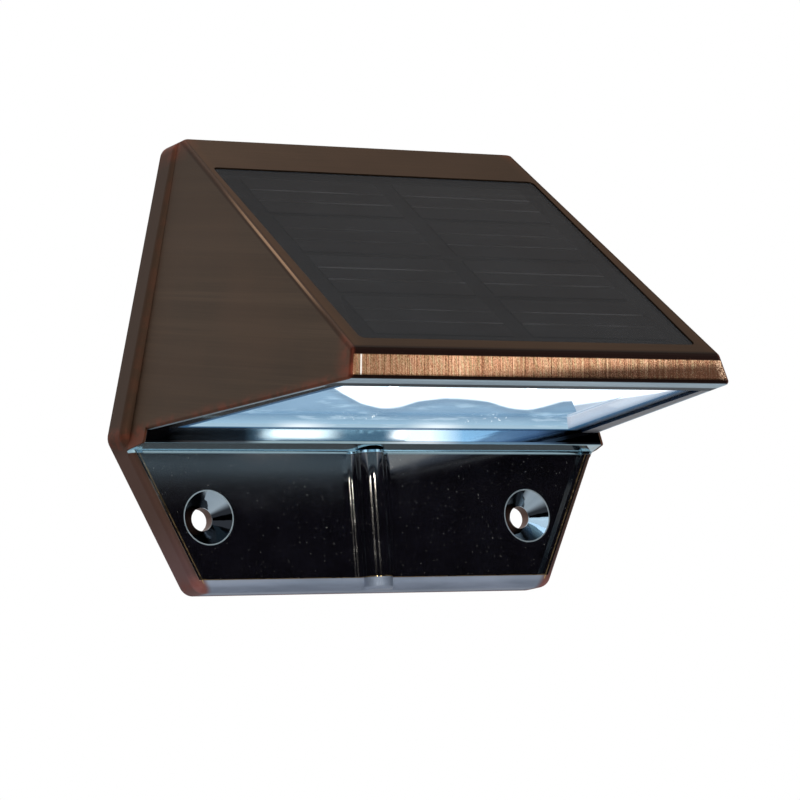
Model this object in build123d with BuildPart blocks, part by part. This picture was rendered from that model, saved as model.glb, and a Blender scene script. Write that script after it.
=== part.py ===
from build123d import *
from math import cos, hypot, pi, radians, sin, tan
import os

# Wall-mounted solar fence light: a plated moulded housing whose sloping hood carries a solar
# panel and throws light down through a lens in its underside. Millimetres and degrees.
# The wall is the plane Y = 0, the light stands out towards -Y and +Z is up. The origin lies on
# the wall, midway between the two wall screw holes.

os.makedirs("parts", exist_ok=True)

# ---- Back outline: a six-sided plate, widest at the fold between hood and lower plate ----
overall_width = 114.0
widest_z = 16.5
top_width = 80.8
top_z = 78.0
bottom_width = 83.4
bottom_z = -15.4
corner_radius = 3.1
base_depth = 6.9
base_edge_radius = 1.6

# ---- Hood ----
wall = 2.2
nose_reach = 76.8
nose_width = 86.4
nose_height = 6.1
nose_setback = 0.9
top_step = 0.7
side_step_top = 0.7
side_step_low = 1.85
underside_above_fold = 0.5
hood_edge_radius = 1.0
underside_edge_radius = 0.6
floor_thickness = 2.4

# ---- Lip between the hood's underside and the lower plate ----
lip_reach = 11.9
lip_height = 2.6
lip_slope_drop = 0.8

# ---- Lower plate with its screw holes and rib ----
screw_hole_spacing = 76.0
screw_hole_diameter = 4.8
countersink_diameter = 10.9
countersink_angle = 90.0
rim_width = 1.1
floor_recess = 1.0
plate_thickness = 1.9
screw_boss_wall = 1.4
rib_width = 7.0
rib_foot_radius = 2.0
lip_root_radius = 0.5
rib_end_radius = 0.8
back_rib_thickness = 1.6
hollow_gap = 2.0

# ---- Solar panel, bedded in the sloping top face ----
panel_from_top = 12.9
panel_to_nose = 4.0
panel_side_border = 2.0
panel_corner_radius = 1.0
panel_clearance = 0.2
panel_shadow = 0.25
pad_thickness = 0.3
pad_width = 5.0
panel_board_thickness = 0.8
panel_cover_thickness = 0.65
cell_columns = 2
cell_rows = 4
cell_margin_x = 4.8
cell_margin_y = 3.05
cell_gap_x = 4.4
cell_gap_y = 1.8
cell_thickness = 0.2
busbar_thickness = 0.1
busbar_width = 0.45
busbar_spacing = 4.8
recess_floor = 1.75
panel_wire_hole = 4.0

# ---- Underside opening, lens frame and lens ----
underside_nose_border = 8.4
underside_border_front = 3.1
underside_border_back = 5.0
frame_clearance = 0.2
frame_recess = 0.5
frame_border = 3.4
frame_front_border = 1.5
frame_back_border = 1.0
frame_lip = 0.8
frame_flange_thickness = 1.2
frame_flange_front = 2.0
frame_flange_back = 4.6
frame_flange_inset = 0.6
lens_seat = 1.2
lens_seat_ends = 0.8
lens_clearance = 0.1
lens_thickness = 2.0

# ---- Reflector tray ----
tray_wall = 1.2
tray_height = 9.1
tray_flange_inset = 0.9
tray_flange_thickness = 1.2
tray_back_gap = 1.2
tray_side_inset = 1.55
tray_lean = 23.0
tray_front_gap = 1.2
tray_roof_clearance = 0.4
tray_screw_spacing = 30.0
tray_screw_count = 3
tray_screw_shank = 2.0
tray_screw_head = 3.6
tray_screw_head_height = 1.3
tray_screw_grip = 3.0
hold_down_width = 6.0
hold_down_depth = 1.4
hold_down_spacing = 40.0
hold_down_clearance = 0.15

# ---- Light-emitting diodes on their board ----
led_count = 3
led_spacing = 33.5
led_board_end = 4.5
led_board_depth = 7.0
led_board_thickness = 1.2
led_board_back_gap = 1.0
led_width = 3.5
led_depth = 2.8
led_height = 1.8

# ---- Rear cover, its seal and screws ----
cover_recess = 1.0
cover_thickness = 2.0
cover_clearance = 0.2
rear_gasket_thickness = 0.6
ledge_width = 2.4
ledge_thickness = 2.0
cover_boss_inset = 3.5
cover_boss_diameter = 5.8
cover_screw_shank = 2.5
cover_screw_head = 4.4
cover_screw_hole = 2.6
cover_screw_length = 7.0

# ---- Battery, its pocket and door ----
cell_diameter = 14.2
cell_length = 50.0
cell_cap_diameter = 5.5
cell_cap_height = 1.5
cell_sleeve = 0.15
cell_clearance = 0.4
battery_lift = 1.2
pocket_wall = 1.5
contact_thickness = 0.4
contact_size = 9.0
tail_width = 3.0
tail_solder = 2.4
tail_clearance = 0.15
spring_length = 3.4
spring_wire = 0.6
spring_large_radius = 3.4
spring_small_radius = 2.2
spring_turns = 3
door_thickness = 1.5
door_gasket_thickness = 0.5
door_overlap = 2.4
door_clearance = 0.2
door_collar_wall = 1.4
door_collar_depth = 2.2
door_screw_from_pocket = 3.8
door_screw_shank = 2.0
door_screw_hole = 2.1
door_screw_head = 3.6
door_screw_length = 6.0
door_boss_diameter = 5.0

# ---- Control board and on/off switch ----
board_width = 56.0
board_height = 12.4
board_thickness = 1.2
board_screw_inset = 4.0
board_above_floor = 4.6
board_boss_diameter = 4.6
board_screw_shank = 1.8
board_screw_head = 3.2
board_screw_head_height = 1.1
board_screw_length = 4.0
chip_width = 5.0
chip_height = 4.0
chip_thickness = 1.5
chip_to_switch = 8.0
inductor_diameter = 5.4
inductor_height = 2.6
inductor_to_resistors = 11.0
resistor_count = 4
resistor_length = 2.0
resistor_width = 1.25
resistor_thickness = 0.6
resistor_pitch = 3.0
resistors_from_end = 9.0
switch_from_end = 14.0
switch_length = 9.0
switch_height = 4.4
switch_depth = 3.9
switch_gap = 0.9
slider_foot_length = 3.0
slider_foot_height = 1.8
slider_foot_depth = 1.5
slider_knob_length = 2.0
slider_knob_height = 1.6
slider_below_wall = 0.5
slider_clearance = 0.1
slider_slot_clearance = 0.4
switch_travel = 2.0

# ---- Screws ----
thread_clearance = 0.05
slot_share = 0.6
slot_width = 0.6
slot_depth = 0.7
door_corner_radius = 2.0

# ---- Insulated leads ----
lead_diameter = 1.1
lead_pitch = 2.4
lead_bend = 2.4
panel_lead_x = -13.0
panel_lead_drop = 4.0
panel_lead_gap = 1.4

# ================= values worked out from the sizes above =================
half_width = overall_width / 2
top_half_width = top_width / 2
bottom_half_width = bottom_width / 2
nose_half_width = nose_width / 2
top_flat_depth = base_depth + top_step
nose_top_reach = nose_reach - nose_setback
underside_z = widest_z + underside_above_fold
nose_top_z = underside_z + nose_height
lip_front_z = underside_z - lip_height
lip_root_z = lip_front_z - lip_slope_drop
slope_length = hypot(nose_top_reach - top_flat_depth, top_z - nose_top_z)
slope_sin = (top_z - nose_top_z) / slope_length
slope_cos = (nose_top_reach - top_flat_depth) / slope_length
floor_top = underside_z + floor_thickness
roof_plane = Plane(
    origin=(0, -top_flat_depth, top_z), x_dir=(1, 0, 0), z_dir=(0, -slope_sin, slope_cos)
)


def outline_half(z):
    """Half width of the back outline at height z."""
    if z >= widest_z:
        share = (z - widest_z) / (top_z - widest_z)
        return half_width + (top_half_width - half_width) * share
    share = (widest_z - z) / (widest_z - bottom_z)
    return half_width + (bottom_half_width - half_width) * share


# the hood's side faces run from the nose's ends to just inside the base's outline
side_low_half = outline_half(underside_z) - side_step_low
side_top_half = top_half_width - side_step_top
side_taper = (side_low_half - nose_half_width) / (nose_reach - base_depth)
side_lean = (nose_half_width + (nose_reach - top_flat_depth) * side_taper - side_top_half) / (
    top_z - underside_z
)


def side_half(reach, z):
    """Half width of the hood at a distance out from the wall and a height."""
    return nose_half_width + (nose_reach - reach) * side_taper - (z - underside_z) * side_lean


def side_plane(side, inset):
    """The hood's sloping side face, side -1 or +1, moved inward by inset."""
    outward = (side, -side_taper, side_lean)
    corner = (side * nose_half_width, -nose_reach, underside_z)
    return Plane(origin=corner, z_dir=outward).offset(-inset)


def ceiling_z(reach, inset):
    """Height of the sloping top face at a distance out from the wall, moved inward by inset."""
    return top_z - (reach - top_flat_depth) * slope_sin / slope_cos - inset / slope_cos


def nose_inner_reach(z):
    """Reach of the nose's inner face at height z."""
    lean = (nose_reach - nose_top_reach) / (nose_top_z - underside_z)
    return nose_reach - (z - underside_z) * lean - wall * hypot(1, lean)


def upper_outline(inset, z_low, z_high):
    """Corners of the back outline above the fold, moved inward, between two heights."""
    lean = (half_width - top_half_width) / (top_z - widest_z)
    shift = inset * hypot(1, lean)
    low_half = outline_half(max(z_low, widest_z)) - shift
    high_half = outline_half(z_high) - shift
    return [(-low_half, z_low), (low_half, z_low), (high_half, z_high), (-high_half, z_high)]


opening_front_reach = nose_reach - underside_nose_border
opening_back_reach = lip_reach
opening_front_half = side_half(opening_front_reach, underside_z) - underside_border_front
opening_back_half = side_half(opening_back_reach, underside_z) - underside_border_back


def opening_half(reach):
    """Half width of the underside opening at a distance out from the wall."""
    share = (opening_front_reach - reach) / (opening_front_reach - opening_back_reach)
    return opening_front_half + (opening_back_half - opening_front_half) * share


def plan_points(side_inset, front_reach, back_reach):
    """Corners, seen from above, of a shape that follows the underside opening's sides."""
    front_half = opening_half(front_reach) - side_inset
    back_half = opening_half(back_reach) - side_inset
    return [
        (-front_half, -front_reach),
        (front_half, -front_reach),
        (back_half, -back_reach),
        (-back_half, -back_reach),
    ]


# ---- Heights of the stack over the underside opening ----
frame_bottom_z = underside_z + frame_recess
lens_bottom_z = frame_bottom_z + frame_lip
lens_top_z = lens_bottom_z + lens_thickness
frame_top_z = floor_top + frame_flange_thickness
window_front_reach = opening_front_reach - frame_clearance - frame_front_border
window_back_reach = opening_back_reach + frame_clearance + frame_back_border
window_side_inset = frame_clearance + frame_border
tray_top_z = frame_top_z + tray_height
tray_back_reach = opening_back_reach + tray_back_gap
tray_front_reach = opening_front_reach - tray_front_gap
tray_half_width_back = opening_half(tray_back_reach + tray_wall) - tray_side_inset
flange_front_reach = opening_front_reach + frame_flange_front
flange_back_reach = opening_back_reach - frame_flange_back

# ---- Panel stack, as wide and long as its borders on the slope leave it ----
panel_top_reach = top_flat_depth + panel_from_top * slope_cos
panel_top_half = side_half(panel_top_reach, top_z - panel_from_top * slope_sin)
panel_low_reach = nose_top_reach - panel_to_nose * slope_cos
panel_low_half = side_half(panel_low_reach, nose_top_z + panel_to_nose * slope_sin)
panel_width = 2 * (min(panel_top_half, panel_low_half) - panel_side_border)
panel_length = slope_length - panel_from_top - panel_to_nose
cell_width = (panel_width - 2 * cell_margin_x - (cell_columns - 1) * cell_gap_x) / cell_columns
cell_height = (panel_length - 2 * cell_margin_y - (cell_rows - 1) * cell_gap_y) / cell_rows
cell_pitch_x = cell_width + cell_gap_x
cell_pitch_y = cell_height + cell_gap_y
recess_depth = pad_thickness + panel_board_thickness + panel_cover_thickness + panel_shadow
roof_wall = recess_depth + recess_floor
panel_centre = roof_plane.offset(-recess_depth).shift_origin(
    roof_plane.offset(-recess_depth).from_local_coords((0, -panel_from_top - panel_length / 2, 0))
)

# ---- Depths of the rear stack, measured from the wall ----
cover_rear = cover_recess
cover_front = cover_rear + cover_thickness
ledge_rear = cover_front + rear_gasket_thickness
ledge_front = ledge_rear + ledge_thickness
recess_low_z = floor_top - ledge_width
recess_high_z = top_z - wall
ledge_low_z = recess_low_z + ledge_width
ledge_high_z = recess_high_z - ledge_width
board_standoff = switch_depth + switch_gap
board_screw_spacing = board_width - 2 * board_screw_inset
resistor_x = -board_width / 2 + resistors_from_end
inductor_x = resistor_x + inductor_to_resistors
switch_x = board_width / 2 - switch_from_end
chip_x = switch_x - chip_to_switch
board_rear = cover_front + board_standoff
board_front = board_rear + board_thickness
board_low_z = floor_top + board_above_floor
board_z = board_low_z + board_height / 2

# ---- Battery pocket, its axis along X ----
pocket_half_height = cell_diameter / 2 + cell_clearance
pocket_half_length = (cell_length + contact_thickness * 2 + spring_length) / 2 + cell_clearance / 2
battery_z = board_low_z + board_height + battery_lift + pocket_wall + pocket_half_height
door_rear = cover_rear
door_front = door_rear + door_thickness
door_seat = door_front + door_gasket_thickness
battery_reach = door_seat + cell_clearance + cell_diameter / 2
pocket_floor = battery_reach + cell_diameter / 2 + cell_clearance
door_screw_x = pocket_half_length + door_screw_from_pocket
door_half_length = door_screw_x + door_screw_head / 2 + door_overlap / 2
door_half_height = pocket_half_height + door_overlap

plate_front = base_depth - floor_recess
plate_back = plate_front - plate_thickness
hollow_top_z = lip_root_z - hollow_gap
rib_span = rib_width + 4 * rib_foot_radius
screw_boss_radius = countersink_diameter / 2 + screw_boss_wall
led_board_length = (led_count - 1) * led_spacing + 2 * led_board_end
led_board_top_z = tray_top_z - tray_wall
led_board_reach = tray_back_reach + tray_wall + led_board_back_gap + led_board_depth / 2
outline_points = [
    (-bottom_half_width, bottom_z),
    (bottom_half_width, bottom_z),
    (half_width, widest_z),
    (top_half_width, top_z),
    (-top_half_width, top_z),
    (-half_width, widest_z),
]
screw_x = screw_hole_spacing / 2
tray_screw_places = [
    ((i - (tray_screw_count - 1) / 2) * tray_screw_spacing, -(flange_back_reach + tray_screw_head / 2))
    for i in range(tray_screw_count)
]
cover_screw_low_z = recess_low_z + cover_boss_inset
cover_screw_high_z = recess_high_z - cover_boss_inset
cover_screw_mid_z = (cover_screw_low_z + cover_screw_high_z) / 2
cover_lean = (half_width - top_half_width) / (top_z - widest_z)
cover_screw_places = [
    (side * (outline_half(z) - (wall + cover_boss_inset) * hypot(1, cover_lean)), z)
    for z in (cover_screw_low_z, cover_screw_mid_z, cover_screw_high_z)
    for side in (-1, 1)
]
slider_rear = slider_below_wall
switch_rear = board_rear - switch_depth


def wall_plane(reach):
    """Plane parallel to the wall, a distance out from it, facing away from the wall."""
    return Plane.XZ.offset(reach)


tray_flange_top_z = frame_top_z + tray_flange_thickness
tray_screw_hole = tray_screw_shank + 2 * thread_clearance
tab_width = (tray_screw_count - 1) * tray_screw_spacing + 2 * tray_screw_head
tab_depth = tray_back_reach + tray_wall - flange_back_reach
hold_down_places = (-hold_down_spacing / 2, hold_down_spacing / 2)
# the panel's leads come through the roof where they drop clear of the battery pocket
panel_lead_reach = pocket_floor + pocket_wall + panel_lead_gap
panel_wire_down = (
    panel_lead_reach - top_flat_depth + (recess_depth + panel_lead_drop) * slope_sin
) / slope_cos
panel_wire_up = panel_from_top + panel_length / 2 - panel_wire_down
led_lead_x = led_spacing / 2
pocket_length = 2 * pocket_half_length
pocket_height = 2 * pocket_half_height
door_length = 2 * door_half_length
door_height = 2 * door_half_height
door_screw_xs = (-door_screw_x, door_screw_x)
battery_left_x = -pocket_half_length + cell_clearance / 4 + contact_thickness
spring_plate_x = battery_left_x + cell_length + spring_length
tail_length = battery_z - board_low_z - board_height + tail_solder
tail_y = -board_front - tail_width / 2
tail_places = [
    (battery_left_x - contact_thickness / 2, tail_y),
    (spring_plate_x + contact_thickness / 2, tail_y),
]
coil_steps = 12
coil_rise = (spring_length - spring_wire) / spring_turns


def coil_radius(turn):
    """Radius of the battery spring's coil after a number of turns."""
    return spring_large_radius + (spring_small_radius - spring_large_radius) * turn / spring_turns


led_lead_z = board_low_z + board_height - lead_pitch
panel_lead_z = board_low_z + board_height - lead_diameter


def rounded_outline():
    """Draws the base's six-sided outline with its rounded corners in the sketch being built."""
    Polygon(*outline_points, align=None)
    fillet(vertices(), radius=corner_radius)


# ================= housing =================
with BuildPart() as hood:
    # wedge-shaped hood with the lip under its back edge, cut to its sloping sides
    with BuildSketch(Plane.YZ):
        Polygon(
            (0, lip_root_z - 2 * lip_root_radius),
            (-plate_front, lip_root_z - 2 * lip_root_radius),
            (-plate_front, lip_root_z),
            (-lip_reach, lip_front_z),
            (-lip_reach, underside_z),
            (-nose_reach, underside_z),
            (-nose_top_reach, nose_top_z),
            (-top_flat_depth, top_z),
            (0, top_z),
            align=None,
        )
        lip_root = vertices().sort_by_distance((-plate_front, lip_root_z))[0]
        fillet(lip_root, radius=lip_root_radius)
    extrude(amount=half_width, both=True)
    with BuildSketch(Plane.XZ):
        rounded_outline()
    extrude(amount=nose_reach, mode=Mode.INTERSECT)
    for side in (-1, 1):
        split(bisect_by=side_plane(side, 0), keep=Keep.BOTTOM)
    # rounded hips and nose, then the softer edges round the underside
    nose_face = faces().sort_by(Axis.Y)[0]
    roof_face = faces().filter_by(lambda f: abs(f.normal_at().dot(roof_plane.z_dir)) > 0.999)[0]
    hips = roof_face.edges().filter_by(GeomType.LINE).filter_by(lambda e: abs(e.tangent_at(0).X) < 0.5)
    fillet(nose_face.edges() + hips, radius=hood_edge_radius)
    underside = faces().filter_by(Axis.Z).filter_by(lambda f: abs(f.center().Z - underside_z) < 0.01)[0]
    under_sides = underside.edges().filter_by(lambda e: abs(e.center().X) > nose_half_width)
    lip_front = edges().filter_by(Axis.X).filter_by(lambda e: abs(e.center().Z - lip_front_z) < 0.01)
    fillet(under_sides + lip_front, radius=underside_edge_radius)

with BuildPart() as rib:
    # half-round rib down the middle of the lower plate, with soft feet and a rounded end
    with BuildSketch(Plane.XY.offset(bottom_z)):
        with Locations((0, -plate_front)):
            Circle(rib_width / 2)
            Rectangle(rib_width, rib_width, align=(Align.CENTER, Align.MIN), mode=Mode.SUBTRACT)
            Rectangle(rib_span, plate_thickness, align=(Align.CENTER, Align.MIN))
        feet = vertices().filter_by(lambda v: abs(abs(v.X) - rib_width / 2) < 0.01)
        fillet(feet, radius=rib_foot_radius)
    extrude(amount=lip_root_z - bottom_z)
    rib_end = edges().group_by(Axis.Z)[0].filter_by(GeomType.CIRCLE)
    fillet(rib_end, radius=rib_end_radius)

with BuildPart() as housing:
    # six-sided base against the wall, its front edge rounded over
    with BuildSketch(Plane.XZ):
        rounded_outline()
    extrude(amount=base_depth)
    fillet(edges().group_by(Axis.Y)[0], radius=base_edge_radius)
    # lower plate's floor, sunk behind a narrow rim
    with BuildSketch(wall_plane(base_depth)):
        rounded_outline()
        offset(amount=-base_edge_radius - rim_width, kind=Kind.ARC)
        with Locations((0, lip_root_z)):
            Rectangle(overall_width, top_z, align=(Align.CENTER, Align.MIN), mode=Mode.SUBTRACT)
    extrude(amount=-floor_recess, mode=Mode.SUBTRACT)
    add(hood.part)
    add(rib.part)
    # cavity of the hood, its floor under the lens and its slope under the panel
    with BuildSketch(Plane.YZ):
        Polygon(
            (-ledge_front, floor_top),
            (-nose_inner_reach(floor_top), floor_top),
            (-nose_inner_reach(floor_top), ceiling_z(nose_inner_reach(floor_top), roof_wall)),
            (-ledge_front, ceiling_z(ledge_front, roof_wall)),
            align=None,
        )
    cavity = extrude(amount=half_width, both=True, mode=Mode.PRIVATE)
    for side in (-1, 1):
        cavity = split(cavity, bisect_by=side_plane(side, wall), keep=Keep.BOTTOM, mode=Mode.PRIVATE)
    add(cavity, mode=Mode.SUBTRACT)
    # flange that the rear cover seals against, inside the base's rear recess
    with BuildSketch(wall_plane(0)):
        Polygon(*upper_outline(wall, recess_low_z, recess_high_z), align=None)
    extrude(amount=ledge_front, mode=Mode.SUBTRACT)
    with BuildSketch(wall_plane(ledge_rear)):
        Polygon(*upper_outline(wall, recess_low_z, recess_high_z), align=None)
        Polygon(
            *upper_outline(wall + ledge_width, ledge_low_z, ledge_high_z),
            align=None,
            mode=Mode.SUBTRACT,
        )
    extrude(amount=ledge_thickness)
    # bosses for the rear cover's screws, and their blind holes
    with BuildSketch(wall_plane(ledge_rear)):
        with Locations(*cover_screw_places):
            Circle(cover_boss_diameter / 2)
    extrude(amount=cover_rear + cover_screw_length + pocket_wall - ledge_rear)
    with BuildSketch(wall_plane(ledge_rear)):
        with Locations(*cover_screw_places):
            Circle(cover_screw_hole / 2)
    extrude(amount=cover_rear + cover_screw_length + cell_clearance - ledge_rear, mode=Mode.SUBTRACT)
    # hollow behind the lower plate, with a boss for each wall screw and a stiffening rib
    with BuildSketch(wall_plane(0)):
        rounded_outline()
        offset(amount=-wall, kind=Kind.ARC)
        with Locations((0, hollow_top_z)):
            Rectangle(overall_width, top_z, align=(Align.CENTER, Align.MIN), mode=Mode.SUBTRACT)
        with Locations((-screw_x, 0), (screw_x, 0)):
            Circle(screw_boss_radius, mode=Mode.SUBTRACT)
        Rectangle(back_rib_thickness, overall_width, mode=Mode.SUBTRACT)
    extrude(amount=plate_back, mode=Mode.SUBTRACT)
    # countersunk holes for the wall screws
    with Locations(
        Plane(origin=(-screw_x, -plate_front, 0), z_dir=(0, -1, 0)),
        Plane(origin=(screw_x, -plate_front, 0), z_dir=(0, -1, 0)),
    ):
        CounterSinkHole(
            radius=screw_hole_diameter / 2,
            counter_sink_radius=countersink_diameter / 2,
            depth=plate_front,
            counter_sink_angle=countersink_angle,
        )
    # recess for the solar panel and the hole for its leads
    with BuildSketch(panel_centre):
        RectangleRounded(
            panel_width + 2 * panel_clearance,
            panel_length + 2 * panel_clearance,
            panel_corner_radius + panel_clearance,
        )
    extrude(amount=recess_depth + wall, mode=Mode.SUBTRACT)
    with BuildSketch(panel_centre):
        with Locations((panel_lead_x, panel_wire_up)):
            Circle(panel_wire_hole / 2)
    extrude(amount=-roof_wall, mode=Mode.SUBTRACT)
    # underside opening, and the ribs that hold the tray's front flange down
    with BuildSketch(Plane.XY.offset(underside_z)):
        Polygon(*plan_points(0, opening_front_reach, opening_back_reach), align=None)
    extrude(amount=floor_thickness, mode=Mode.SUBTRACT)
    with BuildSketch(Plane.XY.offset(tray_flange_top_z + hold_down_clearance)):
        with Locations(*[(x, -flange_front_reach + hold_down_depth) for x in hold_down_places]):
            Rectangle(hold_down_width, hold_down_depth, align=(Align.CENTER, Align.MAX))
    extrude(until=Until.NEXT)
    # pilot holes for the tray's screws
    with BuildSketch(Plane.XY.offset(floor_top)):
        with Locations(*tray_screw_places):
            Circle(tray_screw_shank / 2)
    extrude(amount=-tray_screw_grip, mode=Mode.SUBTRACT)
housing.part.label = "housing"
export_step(housing.part, "parts/housing.step")

# ================= solar panel =================
with BuildPart() as panel_pad:
    # double-sided adhesive frame under the board
    with BuildSketch(panel_centre):
        RectangleRounded(panel_width, panel_length, panel_corner_radius)
        Rectangle(panel_width - 2 * pad_width, panel_length - 2 * pad_width, mode=Mode.SUBTRACT)
    extrude(amount=pad_thickness)
panel_pad.part.label = "panel_pad"
export_step(panel_pad.part, "parts/panel_pad.step")

with BuildPart() as panel_board:
    with BuildSketch(panel_centre.offset(pad_thickness)):
        RectangleRounded(panel_width, panel_length, panel_corner_radius)
    extrude(amount=panel_board_thickness)
panel_board.part.label = "panel_board"
export_step(panel_board.part, "parts/panel_board.step")

cell_plane = panel_centre.offset(pad_thickness + panel_board_thickness)
cell_pocket_depth = cell_thickness + busbar_thickness
with BuildPart() as solar_cells:
    with BuildSketch(cell_plane):
        with GridLocations(cell_pitch_x, cell_pitch_y, cell_columns, cell_rows):
            Rectangle(cell_width, cell_height)
    extrude(amount=cell_thickness)
solar_cells.part.label = "solar_cells"
export_step(solar_cells.part, "parts/solar_cells.step")

with BuildPart() as cell_busbars:
    # two flat silver strips along each cell
    with BuildSketch(cell_plane.offset(cell_thickness)):
        with GridLocations(cell_pitch_x, cell_pitch_y, cell_columns, cell_rows):
            with GridLocations(0, busbar_spacing, 1, 2):
                Rectangle(cell_width, busbar_width)
    extrude(amount=busbar_thickness)
cell_busbars.part.label = "cell_busbars"
export_step(cell_busbars.part, "parts/cell_busbars.step")

with BuildPart() as panel_cover:
    # clear cover, moulded over the cells
    with BuildSketch(cell_plane):
        RectangleRounded(panel_width, panel_length, panel_corner_radius)
    extrude(amount=panel_cover_thickness)
    with BuildSketch(cell_plane):
        with GridLocations(cell_pitch_x, cell_pitch_y, cell_columns, cell_rows):
            Rectangle(cell_width, cell_height)
    extrude(amount=cell_pocket_depth, mode=Mode.SUBTRACT)
panel_cover.part.label = "panel_cover"
export_step(panel_cover.part, "parts/panel_cover.step")

# ================= lens, its frame and the reflector tray =================
with BuildPart() as lens_frame:
    # black frame that fills the opening, its flange reaching over the floor front and back
    with BuildSketch(Plane.XY.offset(frame_bottom_z)):
        Polygon(
            *plan_points(
                frame_clearance,
                opening_front_reach - frame_clearance,
                opening_back_reach + frame_clearance,
            ),
            align=None,
        )
    extrude(amount=frame_top_z - frame_bottom_z)
    with BuildSketch(Plane.XY.offset(floor_top)):
        Polygon(
            *plan_points(frame_flange_inset, flange_front_reach, opening_back_reach), align=None
        )
        with Locations((0, -flange_back_reach)):
            Rectangle(tab_width, tab_depth, align=(Align.CENTER, Align.MAX))
    extrude(amount=frame_flange_thickness)
    with BuildSketch(Plane.XY.offset(frame_bottom_z)):
        Polygon(
            *plan_points(window_side_inset, window_front_reach, window_back_reach), align=None
        )
    extrude(amount=frame_lip, mode=Mode.SUBTRACT)
    with BuildSketch(Plane.XY.offset(lens_bottom_z)):
        Polygon(
            *plan_points(
                window_side_inset - lens_seat, window_front_reach + lens_seat_ends, window_back_reach
                - lens_seat_ends
            ),
            align=None,
        )
    extrude(amount=frame_top_z - lens_bottom_z, mode=Mode.SUBTRACT)
    with BuildSketch(Plane.XY.offset(floor_top)):
        with Locations(*tray_screw_places):
            Circle(tray_screw_hole / 2)
    extrude(amount=frame_flange_thickness, mode=Mode.SUBTRACT)
lens_frame.part.label = "lens_frame"
export_step(lens_frame.part, "parts/lens_frame.step")

with BuildPart() as light_lens:
    with BuildSketch(Plane.XY.offset(lens_bottom_z)):
        Polygon(
            *plan_points(
                window_side_inset - lens_seat + lens_clearance,
                window_front_reach + lens_seat_ends - lens_clearance,
                window_back_reach - lens_seat_ends + lens_clearance,
            ),
            align=None,
        )
    extrude(amount=lens_thickness)
light_lens.part.label = "light_lens"
export_step(light_lens.part, "parts/light_lens.step")

with BuildPart() as lens_gasket:
    # thin seal on the lens's edge, pinched by the tray's flange
    with BuildSketch(Plane.XY.offset(lens_top_z)):
        Polygon(
            *plan_points(
                window_side_inset - lens_seat + lens_clearance,
                window_front_reach + lens_seat_ends - lens_clearance,
                window_back_reach - lens_seat_ends + lens_clearance,
            ),
            align=None,
        )
        Polygon(
            *plan_points(window_side_inset, window_front_reach, window_back_reach),
            align=None,
            mode=Mode.SUBTRACT,
        )
    extrude(amount=frame_top_z - lens_top_z)
lens_gasket.part.label = "lens_gasket"
export_step(lens_gasket.part, "parts/lens_gasket.step")


def tray_body(inset):
    """The tray's wedge from its flange up, every face but the open bottom moved in by inset."""
    back_reach = tray_back_reach + inset
    front_reach = tray_front_reach - inset
    roof_z = tray_top_z - inset
    slope_inset = roof_wall + tray_roof_clearance + inset
    knee_reach = top_flat_depth + (top_z - slope_inset / slope_cos - roof_z) * slope_cos / slope_sin
    with BuildPart() as body:
        with BuildSketch(Plane.YZ):
            Polygon(
                (-back_reach, frame_top_z),
                (-front_reach, frame_top_z),
                (-front_reach, ceiling_z(front_reach, slope_inset)),
                (-knee_reach, roof_z),
                (-back_reach, roof_z),
                align=None,
            )
        extrude(amount=half_width, both=True)
        for side in (-1, 1):
            outward = (side, -side_taper, tan(radians(tray_lean)))
            foot = (side * tray_half_width_back, -tray_back_reach - tray_wall, frame_top_z)
            face = Plane(origin=foot, z_dir=outward).offset(tray_wall - inset)
            split(bisect_by=face, keep=Keep.BOTTOM)
    return body.part


with BuildPart() as reflector_tray:
    add(tray_body(0))
    with BuildSketch(Plane.XY.offset(frame_top_z)):
        Polygon(
            *plan_points(tray_flange_inset, flange_front_reach, opening_back_reach), align=None
        )
        with Locations((0, -flange_back_reach)):
            Rectangle(tab_width, tab_depth, align=(Align.CENTER, Align.MAX))
    extrude(amount=tray_flange_thickness)
    add(tray_body(tray_wall), mode=Mode.SUBTRACT)
    with BuildSketch(Plane.XY.offset(frame_top_z)):
        with Locations(*tray_screw_places):
            Circle(tray_screw_hole / 2)
    extrude(amount=tray_flange_thickness, mode=Mode.SUBTRACT)
    # hole in the roof for the light board's leads
    with BuildSketch(Plane.XY.offset(led_board_top_z)):
        with Locations((led_lead_x, -led_board_reach)):
            SlotOverall(lead_pitch + 2 * lead_diameter, 2 * lead_diameter)
    extrude(amount=tray_wall, mode=Mode.SUBTRACT)
reflector_tray.part.label = "reflector_tray"
export_step(reflector_tray.part, "parts/reflector_tray.step")

with BuildPart() as tray_screws:
    with BuildSketch(Plane.XY.offset(tray_flange_top_z)):
        with Locations(*tray_screw_places):
            Circle(tray_screw_head / 2)
    extrude(amount=tray_screw_head_height)
    with BuildSketch(Plane.XY.offset(tray_flange_top_z)):
        with Locations(*tray_screw_places):
            Circle(tray_screw_shank / 2 - thread_clearance)
    extrude(amount=-(tray_flange_top_z - floor_top + tray_screw_grip - thread_clearance))
tray_screws.part.label = "tray_screws"
export_step(tray_screws.part, "parts/tray_screws.step")

# ================= light-emitting diodes =================
with BuildPart() as led_board:
    with BuildSketch(Plane.XY.offset(led_board_top_z)):
        with Locations((0, -led_board_reach)):
            Rectangle(led_board_length, led_board_depth)
    extrude(amount=-led_board_thickness)
led_board.part.label = "led_board"
export_step(led_board.part, "parts/led_board.step")

with BuildPart() as leds:
    with BuildSketch(Plane.XY.offset(led_board_top_z - led_board_thickness)):
        with Locations((0, -led_board_reach)):
            with GridLocations(led_spacing, 0, led_count, 1):
                Rectangle(led_width, led_depth)
    extrude(amount=-led_height)
leds.part.label = "leds"
export_step(leds.part, "parts/leds.step")

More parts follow.
